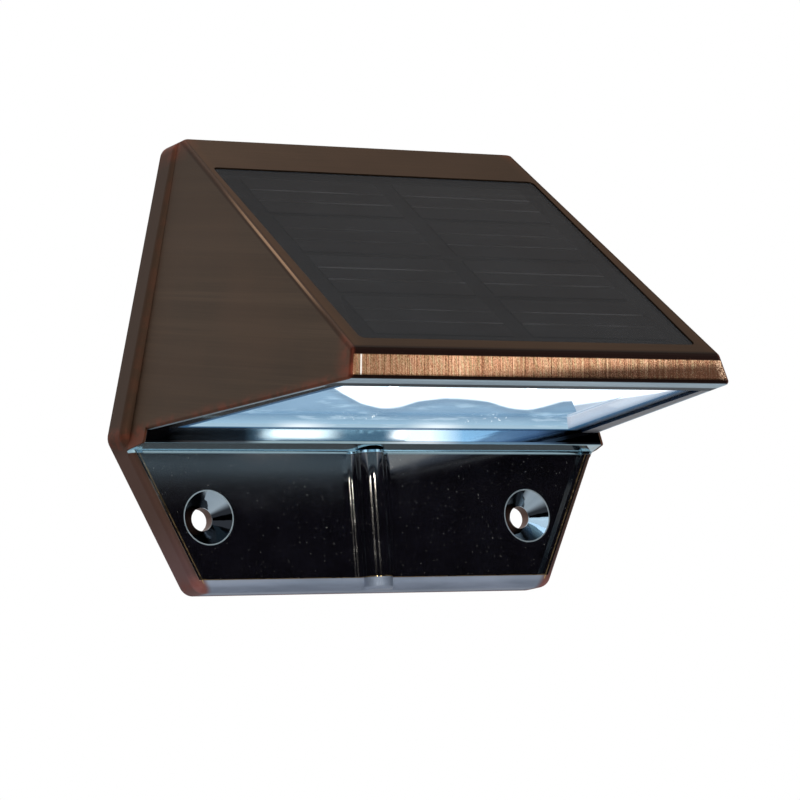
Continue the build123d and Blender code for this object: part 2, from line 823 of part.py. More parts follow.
# ================= rear cover and battery door =================
with BuildPart() as rear_cover:
    with BuildSketch(wall_plane(cover_rear)):
        Polygon(*upper_outline(wall, recess_low_z, recess_high_z), align=None)
        offset(amount=-cover_clearance, kind=Kind.INTERSECTION)
    extrude(amount=cover_thickness)
    # battery pocket with a collar for the door to seal against
    with BuildSketch(wall_plane(cover_front)):
        with Locations((0, battery_z)):
            Rectangle(pocket_length + 2 * pocket_wall, pocket_height + 2 * pocket_wall)
    extrude(amount=pocket_floor + pocket_wall - cover_front)
    with BuildSketch(wall_plane(cover_front)):
        with Locations((0, battery_z)):
            Rectangle(door_length + 2 * door_collar_wall, door_height + 2 * door_collar_wall)
    extrude(amount=door_collar_depth)
    with BuildSketch(wall_plane(cover_front)):
        with Locations((-door_screw_x, battery_z), (door_screw_x, battery_z)):
            Circle(door_boss_diameter / 2)
    extrude(amount=door_rear + door_screw_length + pocket_wall - cover_front)
    with BuildSketch(wall_plane(door_rear)):
        with Locations((0, battery_z)):
            RectangleRounded(door_length, door_height, door_corner_radius)
    extrude(amount=door_seat - door_rear, mode=Mode.SUBTRACT)
    with BuildSketch(wall_plane(door_seat)):
        with Locations((0, battery_z)):
            Rectangle(pocket_length, pocket_height)
    extrude(amount=pocket_floor - door_seat, mode=Mode.SUBTRACT)
    with BuildSketch(wall_plane(door_seat)):
        with Locations((-door_screw_x, battery_z), (door_screw_x, battery_z)):
            Circle(door_screw_hole / 2)
    extrude(amount=door_rear + door_screw_length + cell_clearance - door_seat, mode=Mode.SUBTRACT)
    # slots in the pocket's floor for the contacts' tails
    with BuildSketch(Plane.XY.offset(battery_z - pocket_half_height)):
        with Locations(*tail_places):
            Rectangle(contact_thickness + 2 * tail_clearance, tail_width + 2 * tail_clearance)
    extrude(amount=-pocket_wall, mode=Mode.SUBTRACT)
    # bosses for the control board
    with BuildSketch(wall_plane(cover_front)):
        with GridLocations(board_screw_spacing, 0, 2, 1):
            with Locations((0, board_z)):
                Circle(board_boss_diameter / 2)
    extrude(amount=board_standoff)
    with BuildSketch(wall_plane(board_rear)):
        with GridLocations(board_screw_spacing, 0, 2, 1):
            with Locations((0, board_z)):
                Circle(board_screw_shank / 2 + thread_clearance)
    extrude(amount=-board_screw_length + board_thickness - thread_clearance, mode=Mode.SUBTRACT)
    # slot that the switch's knob comes through
    with BuildSketch(wall_plane(cover_rear)):
        with Locations((switch_x, board_z)):
            Rectangle(
                slider_knob_length + switch_travel + 2 * slider_slot_clearance,
                slider_knob_height + 2 * slider_slot_clearance,
            )
    extrude(amount=cover_thickness, mode=Mode.SUBTRACT)
    # countersunk holes for the cover's screws
    with Locations(*[Plane(origin=(x, -cover_rear, z), z_dir=(0, 1, 0)) for x, z in cover_screw_places]):
        CounterSinkHole(
            radius=cover_screw_hole / 2,
            counter_sink_radius=cover_screw_head / 2 + thread_clearance,
            depth=cover_thickness,
            counter_sink_angle=countersink_angle,
        )
rear_cover.part.label = "rear_cover"
export_step(rear_cover.part, "parts/rear_cover.step")

with BuildPart() as rear_gasket:
    with BuildSketch(wall_plane(cover_front)):
        Polygon(*upper_outline(wall, recess_low_z, recess_high_z), align=None)
        offset(amount=-cover_clearance, kind=Kind.INTERSECTION)
        Polygon(
            *upper_outline(wall + ledge_width, ledge_low_z, ledge_high_z),
            align=None,
            mode=Mode.SUBTRACT,
        )
        with Locations(*cover_screw_places):
            Circle(cover_boss_diameter / 2)
        with Locations(*cover_screw_places):
            Circle(cover_screw_hole / 2, mode=Mode.SUBTRACT)
    extrude(amount=rear_gasket_thickness)
rear_gasket.part.label = "rear_gasket"
export_step(rear_gasket.part, "parts/rear_gasket.step")


def countersunk_screw(head_diameter, shank_diameter, length):
    """Cross-slotted countersunk screw, its head's face on the XY plane, pointing down."""
    cone_depth = (head_diameter - shank_diameter) / 2 / tan(radians(countersink_angle / 2))
    with BuildPart() as screw:
        with BuildSketch(Plane.XZ):
            Polygon(
                (0, 0),
                (head_diameter / 2, 0),
                (shank_diameter / 2, -cone_depth),
                (shank_diameter / 2, -length),
                (0, -length),
                align=None,
            )
        revolve(axis=Axis.Z)
        with BuildSketch(Plane.XY):
            Rectangle(head_diameter * slot_share, slot_width)
            Rectangle(slot_width, head_diameter * slot_share)
        extrude(amount=-slot_depth, mode=Mode.SUBTRACT)
    return screw.part


with BuildPart() as rear_cover_screws:
    with Locations(*[Plane(origin=(x, -cover_rear, z), z_dir=(0, 1, 0)) for x, z in cover_screw_places]):
        add(countersunk_screw(cover_screw_head, cover_screw_shank, cover_screw_length))
rear_cover_screws.part.label = "rear_cover_screws"
export_step(rear_cover_screws.part, "parts/rear_cover_screws.step")

with BuildPart() as battery_door:
    with BuildSketch(wall_plane(door_rear)):
        with Locations((0, battery_z)):
            RectangleRounded(
                door_length - 2 * door_clearance,
                door_height - 2 * door_clearance,
                door_corner_radius - door_clearance,
            )
    extrude(amount=door_thickness)
    with Locations(*[Plane(origin=(x, -door_rear, battery_z), z_dir=(0, 1, 0)) for x in door_screw_xs]):
        CounterSinkHole(
            radius=door_screw_hole / 2,
            counter_sink_radius=door_screw_head / 2 + thread_clearance,
            depth=door_thickness,
            counter_sink_angle=countersink_angle,
        )
battery_door.part.label = "battery_door"
export_step(battery_door.part, "parts/battery_door.step")

with BuildPart() as door_gasket:
    with BuildSketch(wall_plane(door_front)):
        with Locations((0, battery_z)):
            RectangleRounded(
                door_length - 2 * door_clearance,
                door_height - 2 * door_clearance,
                door_corner_radius - door_clearance,
            )
            Rectangle(pocket_length, pocket_height, mode=Mode.SUBTRACT)
        with Locations((-door_screw_x, battery_z), (door_screw_x, battery_z)):
            Circle(door_screw_hole / 2, mode=Mode.SUBTRACT)
    extrude(amount=door_gasket_thickness)
door_gasket.part.label = "door_gasket"
export_step(door_gasket.part, "parts/door_gasket.step")

with BuildPart() as door_screws:
    with Locations(*[Plane(origin=(x, -door_rear, battery_z), z_dir=(0, 1, 0)) for x in door_screw_xs]):
        add(countersunk_screw(door_screw_head, door_screw_shank, door_screw_length))
door_screws.part.label = "door_screws"
export_step(door_screws.part, "parts/door_screws.step")

# ================= battery and its contacts =================
cell_plane_x = Plane(origin=(battery_left_x, -battery_reach, battery_z), z_dir=(1, 0, 0))
with BuildPart() as battery_cell:
    with BuildSketch(cell_plane_x):
        Circle(cell_cap_diameter / 2)
    extrude(amount=cell_cap_height)
    with BuildSketch(cell_plane_x.offset(cell_cap_height)):
        Circle(cell_diameter / 2 - cell_sleeve)
    extrude(amount=cell_length - cell_cap_height)
battery_cell.part.label = "battery_cell"
export_step(battery_cell.part, "parts/battery_cell.step")

with BuildPart() as battery_sleeve:
    with BuildSketch(cell_plane_x.offset(cell_cap_height)):
        Circle(cell_diameter / 2)
        Circle(cell_diameter / 2 - cell_sleeve, mode=Mode.SUBTRACT)
    extrude(amount=cell_length - cell_cap_height)
battery_sleeve.part.label = "battery_sleeve"
export_step(battery_sleeve.part, "parts/battery_sleeve.step")


def contact(plane):
    """Flat contact on a plane square to X, with a tail that is soldered to the board's face."""
    with BuildPart() as body:
        with BuildSketch(plane):
            Rectangle(contact_size, contact_size)
        extrude(amount=contact_thickness)
        with BuildSketch(Plane(origin=plane.origin, x_dir=(0, -1, 0), z_dir=(1, 0, 0))):
            with Locations((board_front - battery_reach, 0)):
                Rectangle(tail_width, tail_length, align=(Align.MIN, Align.MIN))
        extrude(amount=contact_thickness)
    return body.part


with BuildPart() as contact_plate:
    add(contact(cell_plane_x.offset(-contact_thickness)))
contact_plate.part.label = "contact_plate"
export_step(contact_plate.part, "parts/contact_plate.step")

with BuildPart() as spring_contact:
    # tin-plated plate with a conical coil that presses on the cell's flat end
    add(contact(cell_plane_x.offset(cell_length + spring_length)))
    coil = [
        cell_plane_x.from_local_coords(
            (
                coil_radius(turn) * cos(2 * pi * turn),
                coil_radius(turn) * sin(2 * pi * turn),
                cell_length + spring_length - spring_wire / 4 - coil_rise * turn,
            )
        )
        for turn in [step / coil_steps for step in range(spring_turns * coil_steps + 1)]
    ]
    with BuildLine() as coil_path:
        Spline(*coil)
    with BuildSketch(Plane(origin=coil_path.line @ 0, z_dir=coil_path.line % 0)):
        Circle(spring_wire / 2)
    sweep(path=coil_path.line)
spring_contact.part.label = "spring_contact"
export_step(spring_contact.part, "parts/spring_contact.step")

# ================= control board and switch =================
with BuildPart() as control_board:
    with BuildSketch(wall_plane(board_rear)):
        with Locations((0, board_z)):
            Rectangle(board_width, board_height)
            with GridLocations(board_screw_spacing, 0, 2, 1):
                Circle(board_screw_shank / 2 + thread_clearance, mode=Mode.SUBTRACT)
    extrude(amount=board_thickness)
control_board.part.label = "control_board"
export_step(control_board.part, "parts/control_board.step")

with BuildPart() as board_screws:
    with BuildSketch(wall_plane(board_front)):
        with GridLocations(board_screw_spacing, 0, 2, 1):
            with Locations((0, board_z)):
                Circle(board_screw_head / 2)
    extrude(amount=board_screw_head_height)
    with BuildSketch(wall_plane(board_front)):
        with GridLocations(board_screw_spacing, 0, 2, 1):
            with Locations((0, board_z)):
                Circle(board_screw_shank / 2)
    extrude(amount=-board_screw_length)
board_screws.part.label = "board_screws"
export_step(board_screws.part, "parts/board_screws.step")

with BuildPart() as controller_chip:
    with BuildSketch(wall_plane(board_front)):
        with Locations((chip_x, board_z)):
            Rectangle(chip_width, chip_height)
    extrude(amount=chip_thickness)
controller_chip.part.label = "controller_chip"
export_step(controller_chip.part, "parts/controller_chip.step")

with BuildPart() as inductor:
    with BuildSketch(wall_plane(board_front)):
        with Locations((inductor_x, board_z)):
            Circle(inductor_diameter / 2)
    extrude(amount=inductor_height)
inductor.part.label = "inductor"
export_step(inductor.part, "parts/inductor.step")

with BuildPart() as board_resistors:
    with BuildSketch(wall_plane(board_front)):
        with Locations((resistor_x, board_z)):
            with GridLocations(0, resistor_pitch, 1, resistor_count):
                Rectangle(resistor_length, resistor_width)
    extrude(amount=resistor_thickness)
board_resistors.part.label = "board_resistors"
export_step(board_resistors.part, "parts/board_resistors.step")

with BuildPart() as switch_body:
    with BuildSketch(wall_plane(switch_rear)):
        with Locations((switch_x, board_z)):
            Rectangle(switch_length, switch_height)
    extrude(amount=switch_depth)
    with BuildSketch(wall_plane(switch_rear)):
        with Locations((switch_x, board_z)):
            Rectangle(
                slider_foot_length + switch_travel + 2 * slider_clearance,
                slider_foot_height + 2 * slider_clearance,
            )
    extrude(amount=slider_foot_depth + slider_clearance, mode=Mode.SUBTRACT)
switch_body.part.label = "switch_body"
export_step(switch_body.part, "parts/switch_body.step")

with BuildPart() as switch_slider:
    # drawn in its OFF place; it slides along +X to ON
    slider_x = switch_x - switch_travel / 2
    with BuildSketch(wall_plane(switch_rear)):
        with Locations((slider_x, board_z)):
            Rectangle(slider_foot_length, slider_foot_height)
    extrude(amount=slider_foot_depth)
    with BuildSketch(wall_plane(slider_rear)):
        with Locations((slider_x, board_z)):
            Rectangle(slider_knob_length, slider_knob_height)
    extrude(amount=switch_rear - slider_rear)
switch_slider.part.label = "switch_slider"
export_step(switch_slider.part, "parts/switch_slider.step")

# ================= insulated leads =================


def lead_pair(points):
    """Two insulated wires side by side along X, straight runs joined by round bends."""
    with BuildPart() as pair:
        for shift in (-lead_pitch / 2, lead_pitch / 2):
            route = [Vector(*point) + Vector(shift, 0, 0) for point in points]
            with BuildLine() as path:
                FilletPolyline(*route, radius=lead_bend)
            with BuildSketch(Plane(origin=path.line @ 0, z_dir=path.line % 0)):
                Circle(lead_diameter / 2)
            sweep(path=path.line)
    return pair.part


panel_exit = panel_centre.from_local_coords((panel_lead_x, panel_wire_up, pad_thickness))
panel_turn = panel_centre.from_local_coords((panel_lead_x, panel_wire_up, -panel_lead_drop))
led_leads_part = lead_pair(
    [
        (led_lead_x, -led_board_reach, led_board_top_z),
        (led_lead_x, -led_board_reach, led_lead_z),
        (led_lead_x, -board_front, led_lead_z),
    ]
)
led_leads_part.label = "led_leads"
export_step(led_leads_part, "parts/led_leads.step")

panel_leads_part = lead_pair(
    [
        tuple(panel_exit),
        tuple(panel_turn),
        (panel_turn.X, panel_turn.Y, panel_lead_z),
        (panel_turn.X, -board_front, panel_lead_z),
    ]
)
panel_leads_part.label = "panel_leads"
export_step(panel_leads_part, "parts/panel_leads.step")
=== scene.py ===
from math import cos, radians, sin
from types import SimpleNamespace

import bmesh
import bpy
import numpy as np
from mathutils import Matrix, Vector


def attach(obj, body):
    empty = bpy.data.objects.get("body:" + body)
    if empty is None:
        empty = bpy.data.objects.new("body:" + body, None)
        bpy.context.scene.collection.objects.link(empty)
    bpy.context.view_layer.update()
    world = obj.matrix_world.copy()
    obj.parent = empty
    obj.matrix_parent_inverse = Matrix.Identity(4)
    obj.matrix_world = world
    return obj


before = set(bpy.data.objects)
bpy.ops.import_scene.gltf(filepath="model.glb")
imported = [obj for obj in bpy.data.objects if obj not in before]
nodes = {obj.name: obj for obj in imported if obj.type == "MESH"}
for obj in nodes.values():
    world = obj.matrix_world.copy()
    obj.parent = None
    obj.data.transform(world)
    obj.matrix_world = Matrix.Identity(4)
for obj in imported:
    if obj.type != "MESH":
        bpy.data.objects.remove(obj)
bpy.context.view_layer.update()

# ---- Sizes of the light, in millimetres, for the patterns that follow its shape ----
# the base: its fold line, its top and bottom corners, how far its face and the plate stand out
FOLD_HALF, FOLD_Z = 57.0, 16.5
TOP_HALF, TOP_Z = 40.4, 78.0
BOTTOM_HALF, BOTTOM_Z = 41.7, -15.4
BASE_DEPTH, PLATE_FRONT = 6.9, 5.9
SCREW_X, CONE_RADIUS = 38.0, 5.45
# the hood: its nose, its underside, how its sides narrow to the front and lean in to the top
NOSE_HALF, NOSE_REACH, NOSE_SETBACK, NOSE_TOP_Z = 43.2, 76.8, 0.9, 23.1
UNDERSIDE_Z, FLOOR_TOP_Z = 17.0, 19.4
SIDE_TAPER, SIDE_LEAN = 0.1690, 0.2491
SLOPE_TOP_REACH = 7.6
# the lip over the plate and the opening in the underside
LIP_REACH, LIP_FOOT_Z = 11.9, 13.0
OPENING_FRONT_HALF, OPENING_FRONT_REACH, OPENING_BACK_HALF = 41.5, 68.4, 49.2
OPENING_TAPER = (OPENING_BACK_HALF - OPENING_FRONT_HALF) / (OPENING_FRONT_REACH - LIP_REACH)
# a point on the inner side wall of the lens frame, and the diodes
FRAME_WALL_HALF, FRAME_WALL_REACH = 42.0, 38.5
DIODE_X, DIODE_REACH, DIODE_Z = (-33.5, 0.0, 33.5), 18.8, 25.5

WHITE_GLOW = (1.5, 1.5, 1.5)


# ================= node helpers =================
class Finish:
    """One material and the nodes that make it. Lengths in it are millimetres of Object coordinates."""

    def __init__(self, name):
        self.material = bpy.data.materials.new(name)
        self.material.use_nodes = True
        self.tree = self.material.node_tree
        self.tree.nodes.clear()
        self.output = self.node("ShaderNodeOutputMaterial")
        self.surface = self.node("ShaderNodeBsdfPrincipled")
        self.link(self.surface.outputs[0], self.output.inputs["Surface"])
        coordinates = self.node("ShaderNodeTexCoord")
        self.place = self.node(
            "ShaderNodeVectorMath", {0: coordinates.outputs["Object"], "Scale": 1000.0}, operation="SCALE"
        ).outputs[0]
        parts = self.node("ShaderNodeSeparateXYZ", {0: self.place})
        self.x, self.y, self.z = parts.outputs
        facing = self.node("ShaderNodeSeparateXYZ", {0: coordinates.outputs["Normal"]})
        self.facing_side = self.calc("ABSOLUTE", facing.outputs[0])
        self.side = self.calc("ABSOLUTE", self.x)
        self.reach = self.calc("MULTIPLY", self.y, -1.0)

    def link(self, source, target):
        self.tree.links.new(source, target)

    def node(self, kind, inputs=None, **settings):
        """A new node; inputs that are sockets are linked, the others are set."""
        made = self.tree.nodes.new(kind)
        for key, value in settings.items():
            setattr(made, key, value)
        for key, value in (inputs or {}).items():
            if isinstance(value, bpy.types.NodeSocket):
                self.link(value, made.inputs[key])
            else:
                made.inputs[key].default_value = value
        return made

    def set(self, **values):
        """Sets the main shader's sockets, with _ for each space in their names."""
        for key, value in values.items():
            socket = self.surface.inputs[key.replace("_", " ")]
            if isinstance(value, bpy.types.NodeSocket):
                self.link(value, socket)
            elif isinstance(value, tuple) and len(value) == 3:
                socket.default_value = (*value, 1.0)
            else:
                socket.default_value = value

    def calc(self, operation, *values):
        return self.node("ShaderNodeMath", dict(enumerate(values)), operation=operation).outputs[0]

    def less(self, value, amount):
        return self.calc("SUBTRACT", value, amount)

    def unless(self, mask):
        return self.calc("SUBTRACT", 1.0, mask)

    def part(self, share, mask):
        return self.calc("MULTIPLY", mask, share)

    def total(self, *terms):
        """The sum of share times value over (share, value) pairs."""
        result = None
        for share, value in terms:
            result = self.calc("MULTIPLY_ADD", value, share, 0.0 if result is None else result)
        return result

    def all_of(self, *masks):
        result = masks[0]
        for mask in masks[1:]:
            result = self.calc("MULTIPLY", result, mask)
        return result

    def most(self, *masks):
        result = masks[0]
        for mask in masks[1:]:
            result = self.calc("MAXIMUM", result, mask)
        return result

    def least(self, *masks):
        result = masks[0]
        for mask in masks[1:]:
            result = self.calc("MINIMUM", result, mask)
        return result

    def rise(self, value, low, high):
        """0 up to low, 1 from high on and smooth between; with high under low it falls instead."""
        flip = high < low
        limits = {"From Min": min(low, high), "From Max": max(low, high)}
        result = self.node("ShaderNodeMapRange", {"Value": value, **limits}, interpolation_type="SMOOTHSTEP")
        if flip:
            result.inputs["To Min"].default_value, result.inputs["To Max"].default_value = 1.0, 0.0
        return result.outputs[0]

    def near(self, value, middle, far, close):
        """1 where value is within close of middle, falling to 0 at far from it."""
        return self.rise(self.calc("ABSOLUTE", self.less(value, middle)), far, close)

    def span(self, value, low, high):
        """The plain share of the way that value has gone from low to high, held between 0 and 1."""
        return self.node("ShaderNodeMapRange", {"Value": value, "From Min": low, "From Max": high}).outputs[0]

    def grain(self, stretch=(1.0, 1.0, 1.0), size=1.0, detail=2.0, roughness=0.5, place=None):
        """Noise of about that size in millimetres, drawn out along each axis by stretch."""
        scale = tuple(1.0 / s for s in stretch)
        mapped = self.node("ShaderNodeMapping", {"Vector": place or self.place, "Scale": scale})
        return self.node(
            "ShaderNodeTexNoise",
            {"Vector": mapped.outputs[0], "Scale": 1.0 / size, "Detail": detail, "Roughness": roughness},
        ).outputs["Fac"]

    def blend(self, share, first, second, kind="MIX"):
        made = self.node("ShaderNodeMix", data_type="RGBA", blend_type=kind)
        for socket, value in ((made.inputs[0], share), (made.inputs[6], first), (made.inputs[7], second)):
            if isinstance(value, bpy.types.NodeSocket):
                self.link(value, socket)
            else:
                socket.default_value = (*value, 1.0) if isinstance(value, tuple) else value
        return made.outputs[2]

    def coats(self, colour, *coats):
        """Lays (mask, share, colour) coats over a colour, one after the other."""
        for mask, share, coat in coats:
            colour = self.blend(mask if share == 1.0 else self.part(share, mask), colour, coat)
        return colour

    def mix(self, share, first, second):
        """A number that goes from first to second as share goes from 0 to 1."""
        made = self.node("ShaderNodeMix", data_type="FLOAT")
        for socket, value in ((made.inputs[0], share), (made.inputs[2], first), (made.inputs[3], second)):
            if isinstance(value, bpy.types.NodeSocket):
                self.link(value, socket)
            else:
                socket.default_value = value
        return made.outputs[0]

    def ramp(self, value, *stops):
        made = self.node("ShaderNodeValToRGB", {0: value})
        elements = made.color_ramp.elements
        while len(elements) < len(stops):
            elements.new(1.0)
        for element, (position, colour) in zip(elements, stops):
            element.position, element.color = position, (*colour, 1.0)
        return made.outputs[0]

    def tones(self, value, low, high):
        """From one sRGB colour to another as a noise value goes through the middle of its range."""
        return self.ramp(value, (0.3, linear(*low)), (0.7, linear(*high)))

    def bump(self, height, depth):
        """A normal from a height map whose full range stands that many millimetres high."""
        inputs = {"Height": height, "Distance": depth / 1000.0, "Strength": 1.0}
        return self.node("ShaderNodeBump", inputs).outputs[0]

    def depth_in(self, outward, point):
        """How deep in behind a plane a point lies, the plane given by its outward normal and a point."""
        size = sum(n * n for n in outward) ** 0.5
        n = [v / size for v in outward]
        offset = sum(a * b for a, b in zip(n, point))
        flat = self.total((-n[0], self.side), (-n[1], self.y), (-n[2], self.z))
        return self.calc("ADD", flat, offset)

    def to(self, *names):
        """Gives this finish to CAD nodes or pieces."""
        for name in names:
            piece = nodes[name] if isinstance(name, str) else name
            piece.data.materials.clear()
            piece.data.materials.append(self.material)


def linear(red, green, blue):
    """An sRGB colour, 0 to 255, as the scene-linear numbers that the shaders take."""
    share = np.array([red, green, blue]) / 255.0
    low, high = share / 12.92, ((share + 0.055) / 1.055) ** 2.4
    return tuple(float(v) for v in np.where(share <= 0.04045, low, high))


# ================= housing =================
def housing_depths(f):
    """How deep in behind each of the housing's planes a point lies, in millimetres."""
    drop, run = TOP_Z - NOSE_TOP_Z, NOSE_REACH - NOSE_SETBACK - SLOPE_TOP_REACH
    fold = (FOLD_HALF, 0.0, FOLD_Z)
    depth = SimpleNamespace(
        side=f.depth_in((1.0, -SIDE_TAPER, SIDE_LEAN), (NOSE_HALF, -NOSE_REACH, UNDERSIDE_Z)),
        roof=f.depth_in((0.0, -drop, run), (0.0, -SLOPE_TOP_REACH, TOP_Z)),
        nose=f.depth_in((0.0, UNDERSIDE_Z - NOSE_TOP_Z, NOSE_SETBACK), (0.0, -NOSE_REACH, UNDERSIDE_Z)),
        upper=f.depth_in((TOP_Z - FOLD_Z, 0.0, FOLD_HALF - TOP_HALF), fold),
        lower=f.depth_in((FOLD_Z - BOTTOM_Z, 0.0, BOTTOM_HALF - FOLD_HALF), fold),
        bottom=f.less(f.z, BOTTOM_Z),
    )
    depth.outline = f.least(depth.upper, depth.lower, depth.bottom)
    return depth


def housing_places(f, depth):
    """Masks that are 1 on the part of the housing they are named for and 0 off it."""
    on = SimpleNamespace()
    on.front = f.rise(f.reach, 1.2, 1.6)
    on.low = f.rise(f.z, 14.5, 14.2)
    past_plate = f.rise(f.reach, PLATE_FRONT - 0.1, PLATE_FRONT + 0.1)
    off_sides = f.rise(depth.side, 0.35, 0.6)

    # black chrome: the sunk lower plate with its rib, the walls of the opening, and the lip
    on.plate = f.all_of(
        on.low, f.rise(f.reach, 4.6, 4.8), f.rise(depth.lower, 1.2, 1.35), f.rise(depth.bottom, 2.5, 2.65)
    )
    opening_line = OPENING_FRONT_HALF + OPENING_TAPER * OPENING_FRONT_REACH
    on.opening = f.all_of(
        f.rise(f.total((1.0, f.side), (OPENING_TAPER, f.reach)), opening_line + 0.3, opening_line + 0.12),
        f.rise(f.z, FLOOR_TOP_Z + 0.2, FLOOR_TOP_Z),
        f.rise(f.z, LIP_FOOT_Z + 0.2, LIP_FOOT_Z + 0.4),
        f.rise(f.reach, OPENING_FRONT_REACH + 0.3, OPENING_FRONT_REACH + 0.12),
        past_plate,
    )
    on.lip = f.all_of(
        f.rise(f.reach, LIP_REACH + 0.3, LIP_REACH + 0.1),
        past_plate,
        f.rise(f.z, UNDERSIDE_Z + 0.2, UNDERSIDE_Z + 0.03),
        f.rise(f.z, LIP_FOOT_Z, LIP_FOOT_Z + 0.2),
        off_sides,
    )

    # the countersinks and the painted highlight ring round each
    from_screw = f.less(f.side, SCREW_X)
    radius = f.calc("SQRT", f.calc("ADD", f.all_of(from_screw, from_screw), f.all_of(f.z, f.z)))
    bored = f.all_of(on.low, f.rise(f.reach, 2.4, 2.6))
    on.cone = f.all_of(f.rise(radius, CONE_RADIUS + 0.3, CONE_RADIUS + 0.1), bored)
    on.cone_edge = f.all_of(
        f.rise(radius, CONE_RADIUS - 0.09, CONE_RADIUS + 0.01),
        f.rise(radius, CONE_RADIUS + 0.27, CONE_RADIUS + 0.13),
        bored,
    )

    # satin grey: the flat rim round the opening, but for its left run, and the bottom band of the base; the
    # rim's pale blue is painted light from the lit lens
    rim = f.all_of(
        f.rise(f.z, UNDERSIDE_Z + 0.25, UNDERSIDE_Z + 0.05),
        f.rise(f.reach, LIP_REACH + 0.1, LIP_REACH + 0.3),
        off_sides,
        f.rise(depth.nose, 0.4, 0.65),
        f.unless(on.opening),
    )
    # painted reflections on the rim's side runs: the right one grey, the left one black chrome
    runs = f.all_of(rim, f.rise(f.reach, 68.6, 68.2), f.rise(depth.side, 1.0, 1.3))
    on.right_run = f.all_of(runs, f.rise(f.x, -1.0, 1.0))
    left_run_black_reflection = f.all_of(runs, f.rise(f.x, 1.0, -1.0))
    on.rim = f.less(rim, left_run_black_reflection)
    # painted shade: the dark front band of the rim beside the opening
    on.rim_front = f.all_of(on.rim, f.rise(f.reach, 72.4, 71.2), f.rise(f.reach, 68.2, 68.6))
    bottom_band = f.all_of(f.rise(depth.bottom, 2.6, 2.45), f.rise(depth.lower, 1.6, 3.2), on.front)
    # painted highlight: the rib's foot takes the satin grey
    rib_foot_highlight = f.all_of(f.rise(f.side, 4.4, 3.6), f.rise(f.z, -12.0, -13.2), on.front)
    on.chrome = f.most(on.plate, on.opening, on.lip, left_run_black_reflection)
    on.satin = f.most(on.rim, bottom_band, rib_foot_highlight)

    # the flat faces of the hood
    on.nose = f.all_of(
        f.rise(depth.nose, 0.14, 0.06),
        f.rise(f.reach, 70.0, 71.0),
        f.rise(f.z, 21.95, 21.7),
        f.rise(f.z, 17.75, 17.95),
        off_sides,
    )
    on.side = f.all_of(f.rise(depth.side, 0.16, 0.05), f.rise(f.reach, BASE_DEPTH, BASE_DEPTH + 0.2))

    # the edges of the hood and of the base
    on.nose_edge = f.all_of(
        f.rise(depth.nose, 0.9, 0.3), f.unless(on.nose), f.rise(f.z, UNDERSIDE_Z - 0.05, UNDERSIDE_Z + 0.05)
    )
    # painted highlight: a tan line along the hip's rounding, strongest midway along it
    on.hip = f.all_of(
        f.rise(depth.side, 0.44, 0.3),
        f.rise(depth.roof, 0.44, 0.3),
        f.rise(f.reach, 22.0, 42.0),
        f.rise(f.reach, 68.0, 50.0),
    )
    on.hip_band = f.all_of(f.rise(depth.roof, 0.3, 0.1), f.rise(depth.side, 3.4, 1.2))
    on.hip_round = f.all_of(f.rise(depth.side, 1.0, 0.7), f.rise(depth.roof, 1.0, 0.7))
    on.base_round = f.all_of(f.rise(f.reach, 7.1, 6.8), f.rise(depth.outline, 2.2, 1.6), f.unless(on.chrome))
    on.lower_side = f.all_of(f.rise(f.z, 16.0, 12.0), f.rise(f.reach, 7.2, 6.4))
    on.corner_low = f.all_of(f.rise(f.z, -11.0, -14.5), f.rise(depth.lower, 4.0, 0.6))
    return on


def rubbed_edges(f, depth, on):
    """How far copper shows through on the corners and edges that hands and boxes rub."""
    rubbed = f.rise(f.grain(size=3.5, detail=4.0, roughness=0.6), 0.42, 0.62)
    base_edge = f.all_of(f.rise(f.reach, 2.0, 5.5), f.rise(depth.outline, 2.2, 0.4))
    corner_top = f.all_of(f.rise(f.z, 72.0, 77.5), f.rise(depth.upper, 5.0, 0.8), f.rise(f.reach, 12.0, 7.0))
    by_side = f.rise(depth.side, 0.9, 0.2)
    side_low = f.all_of(f.rise(f.z, UNDERSIDE_Z + 2.4, UNDERSIDE_Z + 0.3), by_side)
    side_nose = f.all_of(f.rise(f.reach, 70.0, 76.5), by_side)
    side_back = f.all_of(f.rise(f.reach, 8.6, 6.6), f.rise(f.reach, 5.2, 6.4), f.rise(f.z, 15.0, 17.0))
    return f.most(
        f.all_of(base_edge, f.near(f.z, FOLD_Z, 5.0, 0.5), f.mix(rubbed, 0.12, 0.4)),
        f.all_of(corner_top, f.mix(rubbed, 0.35, 1.0)),
        f.all_of(on.corner_low, f.mix(rubbed, 0.2, 0.6)),
        f.all_of(side_low, f.mix(rubbed, 0.12, 0.6)),
        f.all_of(side_nose, f.mix(rubbed, 0.3, 0.8)),
        f.all_of(side_back, f.mix(rubbed, 0.0, 0.12)),
    )


def bronze_tones(f, on, side_lines, lines_place):
    """Dark bronze: streaky along the sides' brushed lines, cloudy on the slope and the base."""
    side_bands = f.grain((60.0, 60.0, 1.0), size=2.6, detail=2.0, place=lines_place)
    roof_lines = f.grain((40.0, 1.0, 1.0), size=0.5, detail=2.0)
    cloud = f.grain(size=22.0, detail=3.0)
    bronze = f.ramp(
        f.total((0.55, side_lines), (0.45, side_bands)),
        (0.30, linear(56, 44, 34)),
        (0.52, linear(66, 53, 42)),
        (0.75, linear(80, 65, 52)),
    )
    bronze = f.coats(
        bronze,
        (f.rise(cloud, 0.35, 0.7), 0.3, linear(80, 60, 46)),
        (f.rise(f.z, 40.0, 74.0), 0.4, linear(54, 42, 32)),
    )
    smooth = f.tones(f.total((0.7, cloud), (0.3, roof_lines)), (60, 46, 36), (74, 57, 44))
    return f.blend(on.side, smooth, bronze), roof_lines


